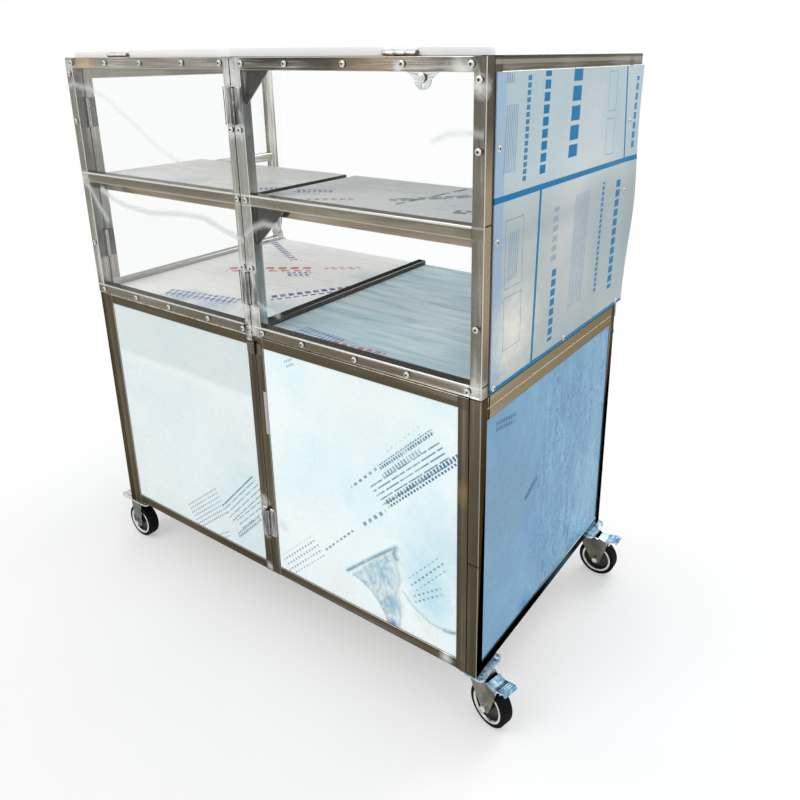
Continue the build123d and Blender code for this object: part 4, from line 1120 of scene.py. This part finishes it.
def crinkle(a, b, seed, swell, crease):
    large = noise.noise((a * 5, b * 5, seed)) * swell
    ridge = 1.0 - abs(noise.noise((a * 22 + seed, b * 17, seed * 1.7)))
    fine = 1.0 - abs(noise.noise((a * 60, b * 52 + seed, seed * 0.6)))
    patch = max(0.0, min(1.0, 0.5 + 1.6 * noise.noise((a * 3.1 + seed, b * 3.1, 4.2))))
    return large + crease * patch * (0.75 * ridge ** 6 + 0.35 * fine ** 5)


def within(a, b, outline):
    inside = False
    for (x0, y0), (x1, y1) in zip(outline, outline[1:] + outline[:1]):
        if (y0 > b) != (y1 > b) and a < x0 + (b - y0) * (x1 - x0) / (y1 - y0):
            inside = not inside
    return inside


def filmSkin(name, look, seed):
    (a0, a1), (b0, b1) = look["across"], look["up"]

    def heightAt(a, b):
        rim = min(1.0, min(a - a0, a1 - a, b - b0, b1 - b) / filmRim)
        crease = look["crease"]
        if "calm" in look:
            calm, lively = look["calm"]
            crease *= max(calmLeast, min(1.0, (a - calm) / (lively - calm)))
        rise, torn = crinkle(a, b, seed, look["swell"], crease), 0.0
        if "flap" in look and within(a, b, look["flap"]):
            rough = (1.0 - abs(noise.noise((a * 75, b * 60, 2.3)))) ** 4
            rise += flapRise * rough
            torn = (0.2 + 0.5 * rough) * min(1.0, 0.25 + pathDistance(a, b, look["flap"][1:4]) / flapFade)
        lift, share = foldAt(a, b, look.get("folds", ()))
        return max(filmLeast, filmRest + (rise + lift) * rim), max(share, torn)

    skin = flatSheet(name, look["across"], look["up"], look["cells"])
    raiseSheet(skin, heightAt)
    standSheet(skin, look["out"], look["at"], filmThick)
    mount(skin, look.get("body", "cart"), films[look["film"]])


for number, (place, look) in enumerate(skinLook.items()):
    filmSkin("filmSkin_" + place, look, 3.7 + 5.3 * number)
print("film skins laid on the panels")

# clear panes, held off the tubes by a hair and notched round the hinges
hingeGap = 0.039
notchRows = [(z - hingeGap, z + hingeGap) for z in cart["caseHinges"]]
leftFolds = [
    ([(-0.533, 1.062), (-0.486, 1.039), (-0.437, 1.029), (-0.350, 1.023), (-0.228, 1.033), (-0.150, 1.034),
      (-0.071, 1.010), (-0.024, 1.000)], 0.0070, 0.0009, 0.9),
    ([(-0.614, 1.313), (-0.593, 1.319), (-0.561, 1.312), (-0.528, 1.310), (-0.463, 1.286), (-0.349, 1.221),
      (-0.288, 1.183), (-0.218, 1.155)], 0.0060, 0.0007, 0.45),
    ([(-0.61, 1.075), (-0.585, 1.060), (-0.560, 1.020), (-0.530, 0.985)], 0.0065, 0.0008, 0.6),
]
doorPaneFolds = [
    ([(-0.012, 1.012), (0.012, 1.030), (0.046, 1.044), (0.090, 1.040)], 0.0065, 0.0008, 0.6),
    ([(0.479, 1.241), (0.508, 1.253), (0.529, 1.256), (0.560, 1.258), (0.577, 1.255)], 0.0055, 0.0007, 0.5),
    ([(-0.012, 0.872), (0.020, 0.852), (0.070, 0.842)], 0.0060, 0.0007, 0.4),
]
frontPane = {"cells": (170, 172), "out": (0, -1, 0), "at": 0.36285}
paneLook = {
    "clearPane_left": dict(frontPane, across=(-0.6155, -0.0215), up=(0.778, 1.377), body="cart",
                           node="case_front_left_sheet", folds=leftFolds,
                           notches=[((-0.0455, -0.02), rows) for rows in notchRows + [(0.77, 0.805)]]),
    "clearPane_door": dict(frontPane, across=(-0.0155, 0.5785), up=(0.779, 1.376), body="case_door",
                           node="case_door_sheet", folds=doorPaneFolds,
                           notches=[((-0.02, 0.0085), rows) for rows in notchRows]),
    "clearPane_leftEnd": {"across": (-0.37215, 0.33385), "up": (0.778, 1.354), "cells": (92, 76), "body": "cart",
                          "node": "case_left_end_sheet", "out": (-1, 0, 0), "at": 0.6185, "folds": [],
                          "notches": [], "lean": True},
}
paneThick, paneGap, paneWave = 0.0022, 0.0003, 0.0007
sheetRear = {"low": (0.33315, 0.778), "high": (0.37215, 1.354)}


def rearEdge(z):
    (y0, z0), (y1, z1) = sheetRear["low"], sheetRear["high"]
    return y0 + (y1 - y0) * (z - z0) / (z1 - z0)


def cutNotch(sheet, across, up):
    for value, way in [(v, (1, 0, 0)) for v in across] + [(v, (0, 1, 0)) for v in up]:
        pick(sheet, "FACE", lambda face: True)
        bpy.ops.mesh.bisect(plane_co=Vector(way) * value, plane_no=way)
        leaveEdit()
    pick(sheet, "FACE", lambda face: across[0] < face.center.x < across[1] and up[0] < face.center.y < up[1])
    bpy.ops.mesh.delete(type="FACE")
    leaveEdit()


def clearPane(name, look, seed):
    pane = flatSheet(name, look["across"], look["up"], look["cells"])
    for across, up in look["notches"]:
        cutNotch(pane, across, up)
    if look.get("lean"):
        a0, a1 = look["across"]
        for point in pane.data.vertices:
            share = (a1 - point.co.x) / (a1 - a0)
            point.co.x = a1 - share * (a1 + rearEdge(point.co.y))

    def heightAt(a, b):
        wave = paneWave * (0.5 + noise.noise((a * 4.2, b * 6.5, seed)))
        lift, share = foldAt(a, b, look["folds"])
        return paneGap + paneThick + max(0.0, wave) + lift, share

    raiseSheet(pane, heightAt)
    standSheet(pane, look["out"], look["at"], paneThick)
    mount(pane, look["body"], clearPlastic)
    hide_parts(look["node"])


for number, (name, look) in enumerate(paneLook.items()):
    clearPane(name, look, 1.3 + 2.9 * number)

# film-covered sheet on the right upper end, its free rear edge bowed out
bowLook = {"across": (-0.33385, 0.37215), "up": (0.778, 1.354), "cells": (96, 84), "out": (1, 0, 0), "at": 0.5815,
           "from": 0.29, "height": 0.0085, "middle": 1.03, "reach": 0.13, "wave": 0.0008}


def bowedSheet(name, look):
    sheet = flatSheet(name, look["across"], look["up"], look["cells"])
    a0, a1 = look["across"]
    for point in sheet.data.vertices:
        share = (point.co.x - a0) / (a1 - a0)
        point.co.x = a0 + share * (rearEdge(point.co.y) - a0)

    def heightAt(a, b):
        free = max(0.0, (a - look["from"]) / (rearEdge(b) - look["from"]))
        bow = look["height"] * free ** 1.5 * math.exp(-((b - look["middle"]) / look["reach"]) ** 2)
        wave = look["wave"] * max(0.0, noise.noise((a * 5, b * 4, 7.1)))
        return paneGap + paneThick + bow + wave, 0.0

    raiseSheet(sheet, heightAt)
    standSheet(sheet, look["out"], look["at"], paneThick)
    mount(sheet, "cart", endFilm)
    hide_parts("case_right_end_sheet")


bowedSheet("filmSheet_rightEnd", bowLook)
print("clear panes and the bowed sheet made")

# sheet screws with a cross recess, and the bolt of the pull tab
screwLook = {
    "headRadius": 0.0043, "headHeight": 0.0034, "crown": 0.0008, "shankRadius": 0.002, "shankDepth": 0.0085,
    "flange": (0.0062, 0.0012, 0.0004), "recess": (0.0052, 0.0017, 0.0022), "recessReach": 0.003,
    "rowShares": (0.047, 0.278, 0.5, 0.745, 0.947), "half": 0.6, "fromEdge": 0.0125, "fromMiddle": 0.013,
    "outerRows": (0.914, 1.228, 1.3425), "innerRows": (0.937, 1.0885, 1.235),
    "endRows": (0.7875, 1.0675, 1.23), "endColumns": (-0.32435, 0.29465), "endMiddle": (-0.01485, 0.7875),
}


def turnedDisc(name, facets, radius, thick, chamfer):
    disc = addBar(name, facets, radius, thick, (0, 0, thick / 2))
    bevelEdges(disc, lambda a, b: min(a.z, b.z) > thick * 0.9, chamfer, 2)
    return disc


def screwMaster(look):
    tall, deep = look["headHeight"], look["shankDepth"]
    head = addBar("screwHead", 20, look["headRadius"], tall, (0, 0, tall / 2))
    bevelEdges(head, lambda a, b: min(a.z, b.z) > tall * 0.9, look["crown"], 3)
    length, width, sunk = look["recess"]
    for size in ((length, width), (width, length)):
        cutter = added(bpy.ops.mesh.primitive_cube_add, "crossCutter", (*size, sunk), (0, 0, tall), size=1)
        cut = head.modifiers.new("recess", "BOOLEAN")
        cut.operation = "DIFFERENCE"
        cut.object = cutter
        applyAll(head)
        discard(cutter)
    # marks the cross recess, which gets painted shade
    hollow = head.data.attributes.new("recess", "FLOAT", "POINT")
    for number, point in enumerate(head.data.vertices):
        inside = point.co.z > tall * 0.5 and math.hypot(point.co.x, point.co.y) < look["recessReach"]
        hollow.data[number].value = 1.0 if inside else 0.0
    flange = turnedDisc("screwFlange", 24, *look["flange"])
    shank = addBar("screwShank", 10, look["shankRadius"], deep, (0, 0, -deep / 2))
    bevelEdges(shank, lambda a, b: max(a.z, b.z) < -deep * 0.9, look["shankRadius"] * 0.7, 1)
    screw = fuse([head, flange, shank], "screwMaster")
    smoothOver(screw, 40)
    return screw


def frontRows(outer, toward, low):
    edge = screwLook["fromEdge"]
    spots = [(outer + toward * share * screwLook["half"], z) for share in screwLook["rowShares"]
             for z in (cart["top"] - edge - low, cart["seam"] + edge + low)]
    spots += [(outer + toward * edge, z) for z in screwLook["outerRows"]]
    spots += [(cart["middle"] - toward * screwLook["fromMiddle"], z) for z in screwLook["innerRows"]]
    face = cart["front"] - cart["clear"]
    return [facing((x, face, z), (0, -1, 0)) @ Matrix.Rotation(x * 37 + z * 11, 4, "Z") for x, z in spots]


def endRows(face, out):
    spots = [(y, z) for z in screwLook["endRows"] for y in screwLook["endColumns"]] + [screwLook["endMiddle"]]
    return [facing((face, y, z), (out, 0, 0)) @ Matrix.Rotation(y * 29 + z * 7, 4, "Z") for y, z in spots]


screw = screwMaster(screwLook)
fixedPlaces = frontRows(cart["left"], 1, 0.0)
fixedPlaces += endRows(cart["left"] - cart["clear"], -1) + endRows(cart["right"] + cart["clear"], 1)
sheetScrews = copiesOf(screw, "sheetScrews", fixedPlaces)
mount(sheetScrews, "cart", metals["screwSteel"])
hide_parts("sheet_screws")
doorScrews = copiesOf(screw, "doorScrews", frontRows(cart["right"], -1, 0.001))
discard(screw)

boltLook = {"x": 0.455, "z": 1.3445, "radius": 0.0055, "headHeight": 0.004, "washerRadius": 0.0078,
            "washerThick": 0.0011, "washerChamfer": 0.0003, "shaftRadius": 0.003, "shaftChamfer": 0.0006,
            "tabBack": -0.35855, "nutReach": 0.0052, "chamfer": 0.0007}


def tabBolt(look):
    face = cart["front"] - cart["clear"]
    outside = facing((look["x"], face, look["z"]), (0, -1, 0))
    inside = facing((look["x"], look["tabBack"], look["z"]), (0, 1, 0))
    through = facing((look["x"], face, look["z"]), (0, 1, 0))
    washerThick, shaftLength = look["washerThick"], look["tabBack"] - face + look["nutReach"]
    lift = Matrix.Translation((0, 0, washerThick))
    washer = turnedDisc("boltWasher", 28, look["washerRadius"], washerThick, look["washerChamfer"])
    hexagon = turnedDisc("boltHexagon", 6, look["radius"], look["headHeight"] - washerThick, look["chamfer"])
    shaft = turnedDisc("boltShaft", 14, look["shaftRadius"], shaftLength, look["shaftChamfer"])
    pieces = [copiesOf(washer, "washers", [outside]), copiesOf(hexagon, "hexagons", [outside @ lift, inside @ lift]),
              copiesOf(shaft, "shafts", [through]), copiesOf(washer, "washers", [inside])]
    for master in (washer, hexagon, shaft):
        discard(master)
    return fuse(pieces, "tabBolt")


doorScrews = fuse([doorScrews, tabBolt(boltLook)], "doorScrews")
smoothOver(doorScrews, 40)
mount(doorScrews, "case_door", metals["screwSteel"])
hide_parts("case_door_screws")
print("screws and the tab's bolt made")

# weld beads at the ends of the hinge leaves
beadLook = {"length": 0.017, "width": 0.0042, "rise": 0.0017, "reach": 0.0375, "ripple": (0.16, 2300),
            "rough": (0.2, 420)}
fixedLeaf, swingLeaf = cart["leafMiddles"]


def beadMaster(look):
    bead = addBall("beadMaster", 20, 10, 0.5, (look["length"], look["width"], look["rise"] * 2))
    (ripple, pace), (rough, grain) = look["ripple"], look["rough"]
    for point in bead.data.vertices:
        swell = 1.0 + ripple * math.sin(point.co.x * pace) + rough * noise.noise(point.co * grain)
        point.co.y *= swell
        point.co.z *= swell
    smoothOver(bead, 70)
    return bead


bead = beadMaster(beadLook)
beadRuns = {
    "weldBeads_case": ("cart", fixedLeaf, cart["caseHinges"]),
    "weldBeads_caseDoor": ("case_door", swingLeaf, cart["caseHinges"]),
    "weldBeads_cabinet": ("cart", fixedLeaf, (cart["cabinetHinge"],)),
    "weldBeads_cabinetDoor": ("cabinet_door", swingLeaf, (cart["cabinetHinge"],)),
}
for name, (body, x, heights) in beadRuns.items():
    places = [facing((x, cart["front"], z + reach), (0, -1, 0)) for z in heights
              for reach in (-beadLook["reach"], beadLook["reach"])]
    beads = copiesOf(bead, name, places)
    mount(beads, body, metals["weldSteel"])
discard(bead)
print("weld beads laid")

# rivets of the draw latches
rivetLook = {"radius": 0.0019, "rise": 0.0014, "sunk": 0.0002, "plate": 0.002, "pivotZ": 0.750,
             "baseRows": (-0.030, 0.0085), "baseX": 0.0088, "keeperZ": 0.796, "keeperX": 0.0055,
             "posts": (-0.606, 0.569)}


def rivetMaster(look):
    rivet = addBall("rivetMaster", 16, 10, look["radius"], (1, 1, look["rise"] / look["radius"]))
    pick(rivet, "FACE", lambda face: True)
    bpy.ops.mesh.bisect(plane_co=(0, 0, -look["sunk"]), plane_no=(0, 0, 1), clear_inner=True, use_fill=True)
    leaveEdit()
    smoothOver(rivet, 50)
    return rivet


rivet = rivetMaster(rivetLook)
rivetSpots = []
for x in rivetLook["posts"]:
    rivetSpots += [(x + way * rivetLook["baseX"], rivetLook["pivotZ"] + row)
                   for way in (-1, 1) for row in rivetLook["baseRows"]]
    rivetSpots += [(x + way * rivetLook["keeperX"], rivetLook["keeperZ"]) for way in (-1, 1)]
rivetFace = cart["back"] + rivetLook["plate"]
rivets = copiesOf(rivet, "latchRivets", [facing((x, rivetFace, z), (0, 1, 0)) for x, z in rivetSpots])
discard(rivet)
mount(rivets, "cart", metals["screwSteel"])

# bright pressed rims on the wheels
rimLook = {"outer": 0.0398, "inner": 0.0352, "lip": 0.0341, "crown": 0.0002, "deep": 0.0024, "thick": 0.0006,
           "side": 0.0147, "rigidX": -0.5985, "rigidY": {"front": -0.34285, "rear": 0.28715}, "axleZ": 0.05,
           "trail": 0.036}


def rimMaster(look):
    rim = added(bpy.ops.mesh.primitive_circle_add, "rimMaster", vertices=56, radius=look["outer"],
                fill_type="NOTHING")
    pick(rim, "EDGE", lambda a, b: True)
    for drop, before, after in ((look["crown"], "outer", "inner"), (-look["deep"], "inner", "lip")):
        bpy.ops.mesh.extrude_edges_move(TRANSFORM_OT_translate={"value": (0, 0, drop)})
        share = look[after] / look[before]
        bpy.ops.transform.resize(value=(share, share, 1))
    leaveEdit()
    pick(rim, "FACE", lambda face: True)
    bpy.ops.mesh.normals_make_consistent(inside=False)
    leaveEdit()
    addSolidify(rim, look["thick"], 0)
    smoothOver(rim, 40)
    return rim


def kingPlace(end):
    x, y, turn = cart["kings"][end]
    return Matrix.Translation((x, y, 0)) @ Matrix.Rotation(math.radians(turn), 4, "Z")


rim = rimMaster(rimLook)
flanks = [Matrix.Rotation(way * math.pi / 2, 4, "X") @ Matrix.Translation((0, 0, rimLook["side"])) for way in (-1, 1)]
for end in ends:
    rigidHub = Matrix.Translation((rimLook["rigidX"], rimLook["rigidY"][end], rimLook["axleZ"]))
    swivelHub = kingPlace(end) @ Matrix.Translation((rimLook["trail"], 0, rimLook["axleZ"]))
    for kind, hub in (("rigid", rigidHub), ("swivel", swivelHub)):
        rims = copiesOf(rim, "wheelRims_" + kind + "_" + end, [hub @ flank for flank in flanks])
        mount(rims, kind + "_wheel_" + end, metals["rimSteel"])
discard(rim)

# raised grip bars near the tips of the brake pedals
gripLook = {"bars": ((0.071, 0.1183), (0.0765, 0.1199), (0.082, 0.1215)), "length": 0.031, "radius": 0.0013}


def gripMaster(look):
    bar = addBar("gripMaster", 14, look["radius"], look["length"], turn=(math.pi / 2, 0, 0))
    bevelEdges(bar, lambda a, b: abs(a.y - b.y) < 0.0001, look["radius"] * 0.6, 2)
    smoothOver(bar, 50)
    return bar


grip = gripMaster(gripLook)
for end in ends:
    places = [kingPlace(end) @ Matrix.Translation((x, 0, z)) for x, z in gripLook["bars"]]
    grips = copiesOf(grip, "pedalGrips_" + end, places)
    mount(grips, "brake_" + end, metals["pedalSteel"])
discard(grip)
print("rivets, rims and pedal grips made")

# pale floor that fades into the white background, and soft light
stageLook = {"size": 16.0, "floor": (0.90, 0.90, 0.89), "floorGrain": (0.92, 0.92, 0.91), "glow": (0.34, 1.0),
             "fade": (0.75, 1.9), "sky": 0.88}


def unseenMix():
    path = put("LightPath", {}).outputs
    return either(path["Is Camera Ray"], path["Is Glossy Ray"], path["Is Transmission Ray"])


def paleFloor():
    floor = added(bpy.ops.mesh.primitive_plane_add, "floor", size=stageLook["size"])
    material, shader = startMaterial("paleFloor")
    grain = spread(mottle(2, 2.0), 0.3, 0.7)
    wire(shader, {"Base Color": tint(grain, stageLook["floor"], stageLook["floorGrain"]), "Roughness": 0.9})
    glow = put("Emission", {"Color": (1, 1, 1, 1), "Strength": 1.0})
    far = put("VectorMath", {0: spot()}, operation="LENGTH").outputs["Value"]
    fade = put("MapRange", {"Value": far, "From Min": stageLook["fade"][0], "From Max": stageLook["fade"][1],
                            "To Min": stageLook["glow"][0], "To Max": stageLook["glow"][1]},
               interpolation_type="SMOOTHSTEP").outputs["Result"]
    mixShown(both(unseenMix(), fade), shader.outputs["BSDF"], glow.outputs["Emission"])
    wear(floor, material)


def paleSky():
    world = bpy.data.worlds.new("paleSky")
    bpy.context.scene.world = world
    world.use_nodes = True
    openTree(world.node_tree, "OutputWorld")
    strength = spread(unseenMix(), 0.0, 1.0, stageLook["sky"], 1.0)
    show(put("Background", {"Color": (1, 1, 1, 1), "Strength": strength}).outputs["Background"])


lamps = {
    "key": {"at": (-1.6, -3.4, 3.6), "aim": (0, 0, 0.7), "size": 2.6, "watts": 48},
    "fill": {"at": (3.6, -0.6, 2.6), "aim": (0, 0, 0.7), "size": 2.6, "watts": 12},
    "back": {"at": (1.0, 3.2, 2.7), "aim": (0, 0, 0.95), "size": 2.4, "watts": 55},
}


def addLamp(name, look):
    lamp = bpy.data.lights.new(name, "AREA")
    lamp.shape = "DISK"
    lamp.size = look["size"]
    lamp.energy = look["watts"]
    holder = bpy.data.objects.new(name, lamp)
    bpy.context.collection.objects.link(holder)
    holder.location = look["at"]
    holder.rotation_euler = (Vector(look["aim"]) - Vector(look["at"])).to_track_quat("-Z", "Y").to_euler()


paleFloor()
paleSky()
for name, look in lamps.items():
    addLamp(name, look)

# camera at the photograph's viewing angle
view = {
    "at": (1.19657, -1.42353, 1.38303), "right": (0.82173, 0.56983, -0.00731),
    "up": (-0.17182, 0.25997, 0.95021), "back": (0.54336, -0.77956, 0.31153),
    "lens": 33.126, "shift": (-0.03098, -0.13138),
}
camera = bpy.data.cameras.new("camera")
camera.lens = view["lens"]
camera.sensor_width = 36.0
camera.shift_x, camera.shift_y = view["shift"]
cameraHolder = bpy.data.objects.new("camera", camera)
bpy.context.collection.objects.link(cameraHolder)
stance = Matrix((view["right"], view["up"], view["back"])).transposed().to_4x4()
cameraHolder.matrix_world = Matrix.Translation(view["at"]) @ stance
bpy.context.scene.camera = cameraHolder
bpy.context.scene.view_settings.view_transform = "Standard"
print("stage, lamps and camera set")
